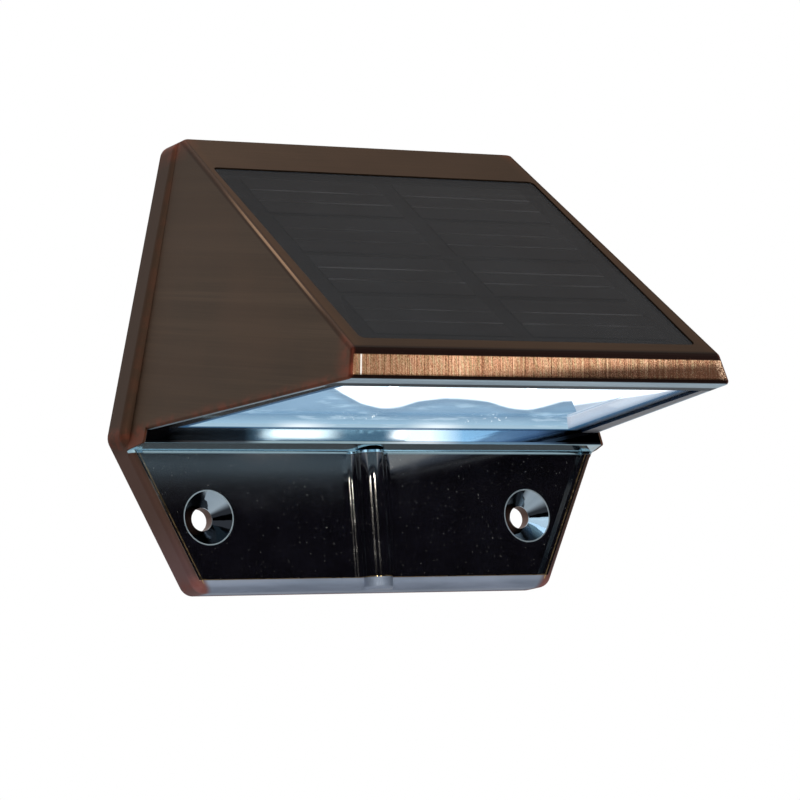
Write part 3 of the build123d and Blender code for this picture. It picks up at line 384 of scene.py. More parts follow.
def nose_copper(f, depth):
    """Copper with upright brushed grain that leans a little; painted shade to the lower right, at the left
    end and, in specks, at the right end; a painted glint near the left end and painted highlight specks at
    the right end.
    """
    across = f.total((1.0, f.x), (-0.175, f.z))
    place = f.node("ShaderNodeCombineXYZ", {0: across, 1: f.y, 2: f.z}).outputs[0]
    lines = f.grain((1.0, 300.0, 300.0), size=0.115, detail=3.0, roughness=0.8, place=place)
    bands = f.grain((1.0, 300.0, 300.0), size=1.1, detail=1.0, place=place)
    fleck = f.grain((1.0, 1.0, 2.2), size=0.14, detail=2.0, roughness=0.7)
    copper = f.ramp(
        f.total((0.54, lines), (0.07, bands), (0.39, fleck)),
        (0.38, linear(58, 36, 26)),
        (0.45, linear(138, 98, 72)),
        (0.52, linear(222, 172, 136)),
        (0.62, linear(255, 236, 206)),
    )
    tint = f.ramp(
        f.grain((1.0, 8.0, 8.0), size=0.4, detail=1.0),
        (0.40, linear(255, 214, 196)),
        (0.52, linear(255, 238, 220)),
        (0.62, linear(222, 240, 206)),
    )
    copper = f.blend(0.5, copper, tint, "MULTIPLY")
    shade = f.all_of(f.rise(f.total((1.0, f.z), (-0.045, f.x)), 20.6, 18.2), f.rise(f.x, -38.0, 16.0))
    shade_breakup = f.mix(f.rise(f.total((0.5, fleck), (0.5, lines)), 0.44, 0.62), 1.0, 0.92)
    shade_specks = f.rise(f.grain((1.0, 1.0, 0.5), size=0.3, detail=3.0, roughness=0.7), 0.44, 0.56)
    far_end_shade = f.all_of(f.rise(f.x, 8.0, 40.0), f.rise(fleck, 0.56, 0.44))
    glint = f.near(across, -43.95, 0.24, 0.1)
    end_highlight = f.all_of(f.rise(depth.side, 2.4, 1.2), f.rise(f.x, 0.0, 1.0), f.rise(fleck, 0.52, 0.6))
    copper = f.coats(
        copper,
        # painted shade to the lower right, broken up in specks
        (f.all_of(shade, shade_breakup, f.mix(shade_specks, 0.88, 1.0)), 1.0, linear(44, 26, 20)),
        # painted shade at the left end
        (f.rise(f.x, -16.0, -41.0), 0.58, linear(92, 66, 46)),
        # painted shade in specks at the right end
        (far_end_shade, 0.7, linear(84, 54, 38)),
        # painted glint near the left end
        (glint, 0.8, (1.0, 0.97, 0.92)),
        # painted highlight specks at the right end
        (end_highlight, 0.8, linear(244, 206, 172)),
    )
    return copper, lines


def silver_painted_reflections(f, on):
    """Painted reflections on the silver of the countersinks, in wedges of light and dark, and on the lip, as
    if it mirrored the lit opening: dark at its ends, brightest right of the middle, pale teal underneath."""
    around = f.calc("ARCTAN2", f.z, f.less(f.side, SCREW_X))
    angle = f.calc("MULTIPLY", around, f.calc("SIGN", f.x))
    right_half, left_half = f.rise(f.x, -1.0, 1.0), f.rise(f.x, 1.0, -1.0)
    wedge = f.most(
        f.all_of(f.rise(angle, 0.30, 0.75), f.rise(angle, 1.75, 1.25), right_half),
        f.all_of(f.rise(angle, -1.3, -0.7), f.rise(angle, 0.15, -0.1), right_half),
        f.all_of(f.near(around, 2.05, 0.75, 0.4), left_half),
    )
    # painted reflections: light and dark wedges on each countersink
    cone_painted_reflection = f.blend(wedge, linear(44, 48, 54), linear(160, 176, 188))
    # painted reflection of the lit opening along the lip
    lip_painted_reflection = f.ramp(
        f.span(f.x, -50.0, 50.0),
        (0.01, linear(10, 10, 12)),
        (0.05, linear(58, 58, 60)),
        (0.18, linear(72, 80, 88)),
        (0.23, linear(164, 190, 200)),
        (0.50, linear(164, 190, 200)),
        (0.57, linear(232, 244, 252)),
        (0.62, linear(232, 244, 252)),
        (0.70, linear(124, 164, 194)),
        (0.88, linear(100, 132, 164)),
        (0.96, linear(14, 16, 20)),
    )
    # painted reflection under the lip, pale teal
    under_lip = f.rise(f.reach, LIP_REACH - 0.15, LIP_REACH - 0.3)
    lip_painted_reflection = f.blend(under_lip, lip_painted_reflection, linear(162, 194, 208))
    return f.blend(on.cone, lip_painted_reflection, cone_painted_reflection)


def gold_edge_highlights(f, depth, on):
    """Broken golden lines along the sunk plate's edge: a painted highlight of the edge."""
    along_side = f.all_of(f.near(depth.lower, 1.85, 0.16, 0.07), on.low, f.rise(depth.bottom, 1.6, 2.0))
    along_bottom = f.all_of(f.near(depth.bottom, 2.66, 0.13, 0.06), f.rise(depth.lower, 1.8, 2.2))
    broken = f.mix(f.rise(f.grain(size=2.0, detail=3.0), 0.4, 0.6), 0.25, 1.0)
    return f.all_of(f.most(along_side, along_bottom), on.front, broken)


def bronze_plating():
    """Dark brushed bronze with copper showing through, and black chrome on the lower plate and lip; the lip
    and countersinks carry painted reflections.
    """
    f = Finish("bronze_plating")
    depth = housing_depths(f)
    on = housing_places(f, depth)
    worn = rubbed_edges(f, depth, on)
    gold_highlight = gold_edge_highlights(f, depth, on)
    copper, nose_lines = nose_copper(f, depth)

    # brushed lines on the sides, that drop a little towards the front
    lines_z = f.total((1.0, f.z), (0.2, f.reach))
    lines_place = f.node("ShaderNodeCombineXYZ", {0: f.x, 1: f.y, 2: lines_z}).outputs[0]
    side_lines = f.grain((90.0, 90.0, 1.0), size=0.38, detail=3.0, roughness=0.65, place=lines_place)
    bronze, roof_lines = bronze_tones(f, on, side_lines, lines_place)

    mauve = f.blend(f.rise(f.z, 2.0, -13.0), linear(102, 76, 69), linear(128, 98, 100))
    speck = f.rise(f.grain(size=0.35, detail=3.0, roughness=0.6), 0.66, 0.72)
    streaks = f.grain((6.0, 1.0, 1.0), size=3.0, detail=3.0)
    colour = f.coats(
        bronze,
        (on.hip_band, 0.5, linear(80, 58, 42)),
        # painted shade: the hip's rounding darkened so that it shows no highlight
        (on.hip_round, 0.85, linear(50, 35, 26)),
        # painted highlight along the hip
        (on.hip, 0.5, linear(168, 136, 108)),
        # painted shade: the base's rounded edge darkened so that it shows no highlight
        (on.base_round, 0.85, linear(66, 50, 40)),
        (on.lower_side, 0.6, mauve),
        # painted highlight: a pink sheen on the bottom corners
        (f.all_of(on.corner_low, f.rise(f.reach, 4.6, 5.6)), 0.5, linear(178, 124, 120)),
        (on.nose_edge, 0.94, linear(22, 10, 9)),
        (worn, 0.65, linear(128, 62, 44)),
        (speck, 0.25, linear(110, 78, 60)),
        (on.nose, 1.0, copper),
        (on.satin, 1.0, f.tones(streaks, (122, 132, 148), (146, 155, 172))),
        # satin grey rim, its pale blue painted light from the lit lens
        (on.rim, 1.0, f.tones(streaks, (158, 180, 194), (180, 200, 212))),
        # painted reflection: the right run's grey
        (on.right_run, 1.0, linear(138, 140, 146)),
        # painted shade on the rim's front band
        (on.rim_front, 0.9, linear(20, 30, 40)),
    )

    # black chrome, hazy and dusty; inside the opening it takes the light's blue
    haze = f.grain(size=6.0, detail=5.0, roughness=0.6)
    dust = f.rise(f.grain(size=0.4, detail=2.0), 0.715, 0.735)
    black = f.coats(
        f.ramp(haze, (0.35, linear(8, 7, 11)), (0.75, linear(15, 14, 20))),
        (dust, 0.6, linear(120, 118, 112)),
        (f.all_of(on.opening, f.rise(f.reach, 12.3, 12.6)), 1.0, linear(14, 38, 64)),
    )
    # the chrome parts that show painted reflections in place of black
    mirror = f.most(on.cone, f.all_of(on.opening, f.rise(f.reach, 12.6, 12.3)), on.lip)
    chrome_and_cones = f.most(on.chrome, on.cone)
    colour = f.coats(
        colour,
        (chrome_and_cones, 1.0, f.blend(mirror, black, silver_painted_reflections(f, on))),
        # painted highlight ring round each countersink
        (on.cone_edge, 1.0, linear(158, 170, 178)),
        # painted golden highlight along the sunk plate's edge
        (gold_highlight, 0.85, linear(176, 150, 104)),
    )

    # roughness: brushed faces, satin, base edge, then chrome with a softer gloss high on the plate
    softer = f.mix(f.rise(f.x, -1.0, 1.0), 1.0, 0.4)
    plate_top = f.all_of(on.plate, f.rise(f.side, 5.5, 7.0), f.rise(f.z, -3.0, 5.0), softer)
    gloss = f.total((0.08, plate_top), (1.0, f.mix(f.rise(haze, 0.45, 0.75), 0.045, 0.09)))
    roughness = f.mix(on.side, 0.46, f.mix(side_lines, 0.40, 0.56))
    for mask, value in (
        (on.nose, f.mix(nose_lines, 0.22, 0.42)),
        (f.most(worn, on.satin), 0.5),
        (on.base_round, 0.68),
        (chrome_and_cones, gloss),
        (on.cone_edge, 0.35),
    ):
        roughness = f.mix(mask, roughness, value)

    brushed = f.mix(on.nose, f.mix(on.side, roof_lines, side_lines), nose_lines)
    height = f.all_of(brushed, f.unless(f.most(chrome_and_cones, on.satin)))
    f.set(
        Base_Color=colour,
        Metallic=f.most(f.unless(on.chrome), mirror, gold_highlight),
        Roughness=roughness,
        Normal=f.bump(height, 0.012),
        IOR=1.7,
        Specular_IOR_Level=0.75,
    )
    f.to("housing")


# ================= solar panel =================
def silicon():
    """Grey-black silicon: fine contact fingers across each cell and a faint mottle."""
    f = Finish("silicon")
    mottle = f.grain(size=1.8, detail=4.0, roughness=0.6)
    fingers = f.calc("PINGPONG", f.calc("ADD", f.x, 200.0), 0.5)
    finger = f.rise(fingers, 0.07, 0.03)
    base = f.tones(mottle, (34, 34, 33), (40, 40, 39))
    f.set(
        Base_Color=f.blend(f.part(0.2, finger), base, linear(60, 61, 62)),
        Roughness=f.mix(mottle, 0.35, 0.5),
        Specular_IOR_Level=0.1,
        Normal=f.bump(mottle, 0.002),
    )
    f.to("solar_cells")


def silver_strip():
    """Silver strips that turn dark over part of their length, so that they show as broken dashes."""
    f = Finish("silver_strip")
    lines = f.grain((30.0, 1.0, 1.0), size=0.12, detail=2.0)
    dimmed = f.rise(f.grain((14.0, 1.0, 1.0), size=1.3, detail=2.0), 0.56, 0.42)
    bright = f.tones(lines, (126, 130, 135), (168, 172, 178))
    f.set(
        Base_Color=f.blend(f.part(0.9, dimmed), bright, linear(38, 38, 37)),
        Metallic=f.mix(dimmed, 0.6, 0.1),
        Roughness=f.mix(lines, 0.35, 0.55),
        Normal=f.bump(lines, 0.01),
    )
    f.to("cell_busbars")


def panel_board():
    f = Finish("panel_board")
    weave = f.node("ShaderNodeTexChecker", {"Vector": f.place, "Scale": 1.6}).outputs["Fac"]
    mottle = f.grain(size=2.5, detail=3.0)
    f.set(
        Base_Color=f.ramp(
            f.total((0.15, weave), (0.85, mottle)), (0.3, linear(43, 44, 45)), (0.8, linear(49, 50, 51))
        ),
        Roughness=f.mix(mottle, 0.45, 0.6),
        Specular_IOR_Level=0.1,
        Normal=f.bump(weave, 0.002),
    )
    f.to("panel_board")


def see_through(f, share, colour=(1.0, 1.0, 1.0)):
    """Puts clear in front of the finish: light passes straight on except for that share."""
    clear = f.node("ShaderNodeBsdfTransparent", {"Color": (*colour, 1.0)})
    mixed = f.node("ShaderNodeMixShader", {0: share, 1: clear.outputs[0], 2: f.surface.outputs[0]})
    f.link(mixed.outputs[0], f.output.inputs["Surface"])


def clear_cover():
    """Clear resin over the cells: nearly all see-through, with a soft gloss and a few hairlines."""
    f = Finish("clear_cover")
    hair = f.grain((80.0, 1.0, 1.0), size=0.7, detail=1.0)
    haze = f.grain(size=14.0, detail=3.0)
    f.set(
        Base_Color=f.tones(haze, (37, 43, 49), (42, 48, 54)),
        Roughness=f.mix(f.rise(haze, 0.3, 0.7), 0.14, 0.22),
        Specular_IOR_Level=0.12,
        Normal=f.bump(haze, 0.01),
    )
    see_through(f, f.mix(f.rise(hair, 0.6, 0.72), 0.58, 0.68))
    f.to("panel_cover")


def pad_foam():
    f = Finish("pad_foam")
    cells = f.node("ShaderNodeTexVoronoi", {"Vector": f.place, "Scale": 3.0}).outputs["Distance"]
    f.set(
        Base_Color=f.ramp(cells, (0.1, linear(28, 28, 29)), (0.8, linear(48, 48, 50))),
        Roughness=f.mix(cells, 0.85, 0.98),
        Normal=f.bump(cells, 0.05),
    )
    f.to("panel_pad")


# ================= lens, frame and tray =================
def black_plastic():
    """Satin black moulding with a fine spark-eroded grain."""
    f = Finish("black_plastic")
    pebble = f.grain(size=0.25, detail=3.0, roughness=0.6)
    flow = f.grain((1.0, 1.0, 2.5), size=12.0, detail=2.0)
    f.set(
        Base_Color=f.tones(flow, (17, 17, 19), (25, 25, 28)),
        Roughness=f.mix(pebble, 0.32, 0.5),
        Normal=f.bump(pebble, 0.02),
    )
    f.to("rear_cover", "battery_door")


def past_wall(f):
    """How far out sideways from the frame's inner side wall a point lies."""
    wall_line = FRAME_WALL_HALF + OPENING_TAPER * FRAME_WALL_REACH
    return f.less(f.total((1.0, f.side), (OPENING_TAPER, f.reach)), wall_line)


def back_light(f):
    """White above a wavy line that hangs lowest by each diode; steel blue with sparkles under it."""
    bells = []
    for x in DIODE_X:
        gap = f.part(1.0 / 8.0, f.less(f.x, x + 0.4))
        bells.append((1.0, f.calc("EXPONENT", f.part(-1.0, f.all_of(gap, gap)))))
    ripple = f.grain((3.0, 3.0, 1.0), size=2.0, detail=3.0)
    wave = f.total((-2.3, f.total(*bells)), (2.6, f.rise(f.x, -5.0, -15.0)), (0.6, ripple))
    above = f.less(f.less(f.z, wave), 23.3)
    blue = f.ramp(
        f.span(f.z, 17.0, 23.0),
        (0.0, (0.40, 0.57, 0.69)),
        (0.25, (0.30, 0.46, 0.58)),
        (0.55, (0.15, 0.27, 0.40)),
        (1.0, (0.20, 0.33, 0.47)),
    )
    shimmer = f.grain((9.0, 9.0, 1.0), size=0.9, detail=3.0, roughness=0.6)
    foot_pools = f.most(f.near(f.x, -19.0, 9.0, 0.0), f.near(f.x, 13.0, 9.0, 0.0))
    spark_places = f.most(f.near(f.x, -4.5, 6.5, 3.5), f.near(f.x, 25.5, 7.0, 4.0))
    spark = f.all_of(
        f.rise(f.grain(size=0.45, detail=2.0), 0.66, 0.70),
        f.rise(f.z, 18.6, 19.4),
        f.rise(f.z, 21.2, 20.3),
        f.mix(spark_places, 0.12, 1.0),
    )
    return f.coats(
        blue,
        (f.rise(shimmer, 0.52, 0.7), 0.45, (0.62, 0.78, 0.88)),
        (f.rise(above, -1.8, -0.3), 0.5, (0.09, 0.16, 0.25)),
        (f.all_of(f.rise(f.z, 19.4, 17.6), foot_pools), 0.8, (0.95, 1.05, 1.1)),
        (spark, 1.0, (0.95, 1.0, 1.0)),
        (f.rise(above, -0.15, 0.45), 1.0, WHITE_GLOW),
    )


def side_light(f):
    """White above a line that falls to the front; lavender under it, and deep blue at the foot."""
    above = f.less(f.total((1.0, f.z), (0.0925, f.reach)), 23.75)
    lavender = f.ramp(
        f.span(f.z, 17.3, 21.0),
        (0.0, (0.05, 0.13, 0.25)),
        (0.22, (0.36, 0.43, 0.53)),
        (0.6, (0.52, 0.55, 0.62)),
    )
    return f.blend(f.rise(above, -0.2, 0.35), lavender, WHITE_GLOW)


def front_light(f):
    """The front wall, which only the lip mirrors: dim, with two hot pools and bright speckle."""
    pool = f.all_of(f.rise(f.x, -1.0, 5.0), f.rise(f.x, 23.0, 13.0))
    pool = f.all_of(f.most(pool, f.rise(f.x, 32.0, 37.0)), f.rise(f.z, 23.2, 23.9), f.rise(f.z, 25.7, 25.0))
    mottle = f.rise(f.grain(size=0.9, detail=3.0), 0.5, 0.62)
    speckle = f.all_of(f.rise(f.x, 14.0, 17.0), f.rise(f.z, 24.5, 24.8), mottle)
    return f.coats(
        f.blend(f.rise(f.x, -6.0, 2.0), (0.020, 0.024, 0.028), (0.07, 0.15, 0.23)),
        (speckle, 1.0, (0.7, 0.85, 0.95)),
        (f.rise(f.z, 25.2, 25.7), 1.0, (0.75, 0.95, 1.1)),
        (f.rise(f.z, 21.2, 20.6), 1.0, (0.50, 0.66, 0.76)),
        (pool, 1.0, (4.2, 3.4, 3.1)),
    )


def lit_walls(f):
    """The colour of the light on the lit chamber's walls: back, sides and front each have their own."""
    under_tray = f.all_of(f.rise(past_wall(f), 0.1, 0.3), f.rise(f.z, 20.8, 20.65))
    at_side = f.most(f.rise(f.facing_side, 0.4, 0.6), under_tray)
    at_front = f.all_of(f.rise(f.reach, 56.0, 60.0), f.unless(at_side))
    return f.blend(at_front, f.blend(at_side, back_light(f), side_light(f)), front_light(f))


def black_frame():
    """Glossy black bezel whose inner walls, next to the lit chamber, are flooded with its light."""
    f = Finish("black_frame")
    sweep = f.grain(size=5.0, detail=3.0)
    inside = past_wall(f)
    inner = f.all_of(
        f.rise(inside, 1.35, 1.2),
        f.rise(f.reach, 12.1, 12.25),
        f.rise(f.z, 17.5, 17.62),
        f.rise(f.z, 20.45, 20.35),
    )
    # painted light: the bottom face glows blue, brightest at its inner edge
    face = f.all_of(f.rise(f.z, 17.62, 17.5), f.rise(inside, 3.2, 0.2), f.rise(f.reach, 11.7, 11.9))
    spill = f.blend(f.rise(inside, 0.2, 2.6), (0.03, 0.10, 0.20), (0.0, 0.005, 0.01))
    f.set(
        Base_Color=f.tones(sweep, (8, 8, 11), (15, 15, 19)),
        Roughness=f.mix(sweep, 0.12, 0.25),
        Emission_Color=f.blend(face, lit_walls(f), spill),
        Emission_Strength=f.most(inner, face),
        Normal=f.bump(f.grain(size=0.4, detail=2.0), 0.004),
    )
    f.to("lens_frame")


def clear_lens():
    """Clear flat lens, see-through with a light gloss; its cut edges glow with the light inside it."""
    f = Finish("clear_lens")
    speck = f.rise(f.grain(size=0.5, detail=2.0), 0.74, 0.78)
    haze = f.grain(size=8.0, detail=3.0)
    inside = past_wall(f)
    edge = f.most(f.rise(inside, 0.85, 1.0), f.rise(f.reach, 12.6, 12.45), f.rise(f.reach, 68.2, 68.6))
    f.set(
        Base_Color=f.blend(edge, (0.6, 0.7, 0.8), (0.05, 0.06, 0.08)),
        Roughness=f.mix(haze, 0.02, 0.07),
        Specular_IOR_Level=0.5,
        Emission_Color=lit_walls(f),
        Emission_Strength=edge,
        Normal=f.bump(haze, 0.01),
    )
    see_through(f, f.most(f.mix(speck, 0.05, 0.55), edge), linear(244, 250, 253))
    f.to("light_lens")


def reflector():
    """Silvered white tray with the diodes' light on its walls."""
    f = Finish("reflector")
    ripple = f.grain((4.0, 4.0, 1.0), size=1.6, detail=3.0)
    inside = f.rise(f.z, 30.0, 28.9)
    f.set(
        Base_Color=f.tones(ripple, (66, 72, 78), (82, 88, 94)),
        Roughness=f.mix(ripple, 0.25, 0.4),
        Emission_Color=lit_walls(f),
        Emission_Strength=inside,
        Normal=f.bump(ripple, 0.02),
    )
    f.to("reflector_tray")


def diode_light():
    """Lit diode bodies, and the white board that carries them, which glows with their painted light."""
    f = Finish("led_phosphor")
    spread = f.grain(size=0.6, detail=2.0)
    f.set(
        Base_Color=f.tones(spread, (240, 244, 250), (252, 252, 252)),
        Roughness=f.mix(spread, 0.3, 0.45),
        Emission_Color=(0.86, 0.94, 1.0),
        Emission_Strength=8.0,
    )
    f.to("leds")
    g = Finish("white_board")
    mask = g.grain(size=1.2, detail=3.0)
    track = g.all_of(g.near(g.reach, DIODE_REACH, 1.9, 1.8), g.unless(g.near(g.reach, DIODE_REACH, 1.6, 1.5)))
    board = g.tones(mask, (222, 225, 228), (236, 238, 240))
    g.set(
        Base_Color=g.blend(g.part(0.5, track), board, linear(190, 186, 170)),
        Roughness=g.mix(mask, 0.25, 0.4),
        # painted light: the board's glow from the diodes beside it
        Emission_Color=(0.8, 0.9, 1.0),
        Emission_Strength=1.6,
        Normal=g.bump(track, 0.03),
    )
    g.to("led_board")


def clear_seal():
    """Milky silicone between lens and tray, lit like the walls beside it."""
    f = Finish("clear_seal")
    milk = f.grain(size=1.5, detail=3.0)
    f.set(
        Base_Color=f.tones(milk, (92, 98, 104), (110, 116, 122)),
        Roughness=f.mix(milk, 0.4, 0.6),
        Emission_Color=lit_walls(f),
        Emission_Strength=1.0,
        Normal=f.bump(milk, 0.02),
    )
    f.to("lens_gasket")


# ================= rubber, metal and board pieces =================
def grained(name, noise, tones, rough, depth, *pieces, **look):
    """A plain finish that follows one noise (its size, detail and roughness) between two tones and
    two roughnesses, with a bump of that depth."""
    f = Finish(name)
    size, detail, roughness = noise
    grit = f.grain(size=size, detail=detail, roughness=roughness)
    f.set(Base_Color=f.tones(grit, *tones), Roughness=f.mix(grit, *rough), Normal=f.bump(grit, depth), **look)
    f.to(*pieces)


def plated_steel(name, low, high, stretch, *pieces):
    """Plated sheet or can with drawn lines along one axis."""
    f = Finish(name)
    lines = f.grain(stretch, size=0.3, detail=3.0, roughness=0.6)
    stain = f.rise(f.grain(size=4.0, detail=3.0), 0.5, 0.8)
    f.set(
        Base_Color=f.coats(f.tones(lines, low, high), (stain, 0.4, linear(120, 112, 100))),
        Metallic=1.0,
        Roughness=f.mix(lines, 0.2, 0.4),
        Normal=f.bump(lines, 0.01),
    )
    f.to(*pieces)


def cell_sleeve():
    """Plain shrink sleeve, a little tight over the can's crimp."""
    f = Finish("cell_sleeve")
    pull = f.grain((6.0, 1.0, 1.0), size=2.0, detail=3.0)
    band = f.rise(f.x, -20.5, -20.2)
    base = f.tones(pull, (22, 84, 128), (30, 98, 146))
    f.set(
        Base_Color=f.blend(band, linear(206, 210, 214), base),
        Roughness=f.mix(pull, 0.2, 0.35),
        Coat_Weight=0.3,
        Normal=f.bump(pull, 0.03),
    )
    f.to("battery_sleeve")


def green_board():
    """Green solder mask over copper tracks, on a glass weave."""
    f = Finish("green_board")
    across = f.node("ShaderNodeCombineXYZ", {0: f.x, 1: f.z}).outputs[0]
    track = {"Scale": 0.28, "Mortar Size": 0.035, "Mortar Smooth": 0.1, "Brick Width": 1.3, "Row Height": 0.5}
    line = f.node("ShaderNodeTexBrick", {"Vector": across, **track}, offset=0.37).outputs["Fac"]
    weave = f.grain((1.0, 1.0, 6.0), size=0.3, detail=1.0)
    mask = f.tones(weave, (14, 74, 40), (20, 90, 50))
    f.set(
        Base_Color=f.blend(line, mask, linear(36, 120, 66)),
        Roughness=f.mix(weave, 0.2, 0.32),
        Normal=f.bump(f.total((0.8, line), (0.2, weave)), 0.03),
    )
    f.to("control_board")


def white_plastic():
    f = Finish("white_plastic")
    ribs = f.calc("PINGPONG", f.calc("ADD", f.x, 100.0), 0.2)
    ridge = f.rise(ribs, 0.05, 0.15)
    grain = f.grain(size=0.4, detail=2.0)
    f.set(
        Base_Color=f.tones(grain, (214, 214, 210), (228, 228, 224)),
        Roughness=f.mix(grain, 0.35, 0.5),
        Normal=f.bump(ridge, 0.08),
    )
    f.to("switch_slider")


def lead_insulation():
    """Wire insulation: the left wire of each pair red, the right one black."""
    f = Finish("lead_insulation")
    grain = f.grain(size=0.6, detail=3.0)
    panel_pair_x, light_pair_x = -13.0, 16.75
    middle = f.mix(f.rise(f.x, 0.0, 2.0), panel_pair_x, light_pair_x)
    right = f.rise(f.less(f.x, middle), -0.05, 0.05)
    red = f.tones(grain, (140, 18, 18), (168, 28, 24))
    black = f.tones(grain, (20, 20, 21), (34, 34, 36))
    f.set(
        Base_Color=f.blend(right, red, black),
        Roughness=f.mix(grain, 0.35, 0.5),
        Normal=f.bump(grain, 0.02),
    )
    f.to("led_leads", "panel_leads")


bronze_plating()
silicon()
silver_strip()
panel_board()
clear_cover()
pad_foam()
black_plastic()
black_frame()
clear_lens()
reflector()
diode_light()
clear_seal()
grained(
    "seal_rubber", (0.5, 4.0, 0.7), ((22, 22, 23), (38, 38, 40)), (0.7, 0.9), 0.03,
    "rear_gasket", "door_gasket", Sheen_Weight=0.1,
)
grained(
    "screw_steel", (0.5, 4.0, 0.65), ((128, 130, 134), (190, 192, 196)), (0.22, 0.42), 0.01,
    "tray_screws", "rear_cover_screws", "door_screws", "board_screws", Metallic=1.0,
)
grained(
    "chip_epoxy", (0.12, 2.0, 0.5), ((26, 26, 28), (44, 44, 46)), (0.5, 0.7), 0.01,
    "controller_chip", "board_resistors",
)
grained("ferrite", (0.25, 4.0, 0.7), ((46, 46, 50), (78, 78, 82)), (0.45, 0.7), 0.03, "inductor")
plated_steel("cell_steel", (150, 152, 154), (206, 207, 208), (20.0, 1.0, 1.0), "battery_cell")
plated_steel(
    "tinned_contact", (160, 160, 156), (210, 209, 204), (1.0, 12.0, 1.0), "contact_plate", "spring_contact"
)
plated_steel("switch_shell", (140, 141, 142), (196, 196, 197), (12.0, 1.0, 1.0), "switch_body")
cell_sleeve()
green_board()
white_plastic()
lead_insulation()


# ================= small pieces added to the CAD ones =================
SIDES = 24
BOARD_JOINTS = [(15.55, -9.0, 34.0), (17.95, -9.0, 34.0), (-14.2, -9.0, 35.3), (-11.8, -9.0, 35.3)]
LIGHT_JOINTS = [(15.55, -18.8, 28.5), (17.95, -18.8, 28.5)]


def new_object(name, data):
    made = bpy.data.objects.new(name, data)
    bpy.context.scene.collection.objects.link(made)
    return made


def rings_piece(name, rings):
    """A piece made of copies of one closed form. rings has the shape (copies, rows, points, 3), in
    millimetres: each row is a closed ring of points, each copy's rows join one after the other, and a
    form is closed where its first and last rings shrink to one point."""
    copies, rows, points = rings.shape[:3]
    row, point = np.meshgrid(np.arange(rows - 1), np.arange(points), indexing="ij")
    after = (point + 1) % points
    lower, upper = row * points, (row + 1) * points
    quads = np.stack([lower + point, lower + after, upper + after, upper + point], -1).reshape(1, -1, 4)
    faces = (np.arange(copies)[:, None, None] * rows * points + quads).reshape(-1, 4)
    mesh = bpy.data.meshes.new(name)
    mesh.from_pydata((rings.reshape(-1, 3) / 1000.0).tolist(), [], faces.tolist())
    form = bmesh.new()
    form.from_mesh(mesh)
    bmesh.ops.remove_doubles(form, verts=form.verts, dist=1e-8)
    bmesh.ops.dissolve_degenerate(form, edges=form.edges, dist=1e-8)
    bmesh.ops.recalc_face_normals(form, faces=form.faces)
    form.to_mesh(mesh)
    form.free()
    mesh.shade_smooth()
    piece = new_object(name, mesh)
    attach(piece, "light")
    return piece


def turned(radii, heights, places, axis):
    """Rings of a turned form: radius and height per row round an axis, copied to each place.
    A point at angle a stands at radius times (cos a, sin a) across the axis and height along it."""
    angle = np.linspace(0.0, 2.0 * np.pi, SIDES + 1)[:-1]
    along = np.array(axis, float)
    first = np.array((1.0, 0.0, 0.0))
    second = np.cross(along, first)
    circle = np.cos(angle)[:, None] * first + np.sin(angle)[:, None] * second
    form = np.array(radii)[:, None, None] * circle + np.array(heights)[:, None, None] * along
    return np.array(places, float)[:, None, None, :] + form[None]


def diode_windows():
    """Resin windows under the diodes: a cap of radius 1.2 sin(t) and height 0.45 cos(t), for t from 0
    to a right angle, closed by a flat back."""
    t = np.linspace(0.0, np.pi / 2.0, 9)
    radii, heights = 1.2 * np.sin(t), 0.45 * np.cos(t)
    radii, heights = np.append(radii, 0.0), np.append(heights, 0.0)
    places = [(x, -DIODE_REACH, DIODE_Z) for x in DIODE_X]
    return rings_piece("diode_windows", turned(radii, heights, places, (0.0, 0.0, -1.0)))


def solder_joints(name, places, axis):
    """Solder fillets round the wire ends: radius 0.62 + 0.55 (1 - t) squared at height 0.6 t."""
    t = np.linspace(0.0, 1.0, 8)
    radii, heights = 0.62 + 0.55 * (1.0 - t) ** 2, 0.6 * t
    radii, heights = np.concatenate([[0.0], radii, [0.0]]), np.concatenate([[0.0], heights, [0.62]])
    return rings_piece(name, turned(radii, heights, places, axis))


def resistor_caps():
    """Tinned ends of the four chip resistors: a super-ellipse section, |cos|^(1/4) by |sin|^(1/4),
    carried along X and drawn in to a point at both ends."""
    angle = np.linspace(0.0, 2.0 * np.pi, 33)[:-1]
    round_y = np.sign(np.cos(angle)) * np.abs(np.cos(angle)) ** 0.25
    round_z = np.sign(np.sin(angle)) * np.abs(np.sin(angle)) ** 0.25
    x = np.array([-0.20, -0.20, -0.17, 0.17, 0.20, 0.20])
    size = np.array([0.0, 0.93, 1.0, 1.0, 0.93, 0.0])
    section = np.stack([np.zeros(32), 0.325 * round_y, 0.645 * round_z], -1)
    form = size[:, None, None] * section + x[:, None, None] * np.array((1.0, 0.0, 0.0))
    ends_x, front_y, middles_z = (-19.84, -18.16), -9.315, (31.7, 34.705, 25.695, 28.695)
    places = np.array([(x, front_y, z) for z in middles_z for x in ends_x])
    return rings_piece("resistor_caps", places[:, None, None, :] + form[None])


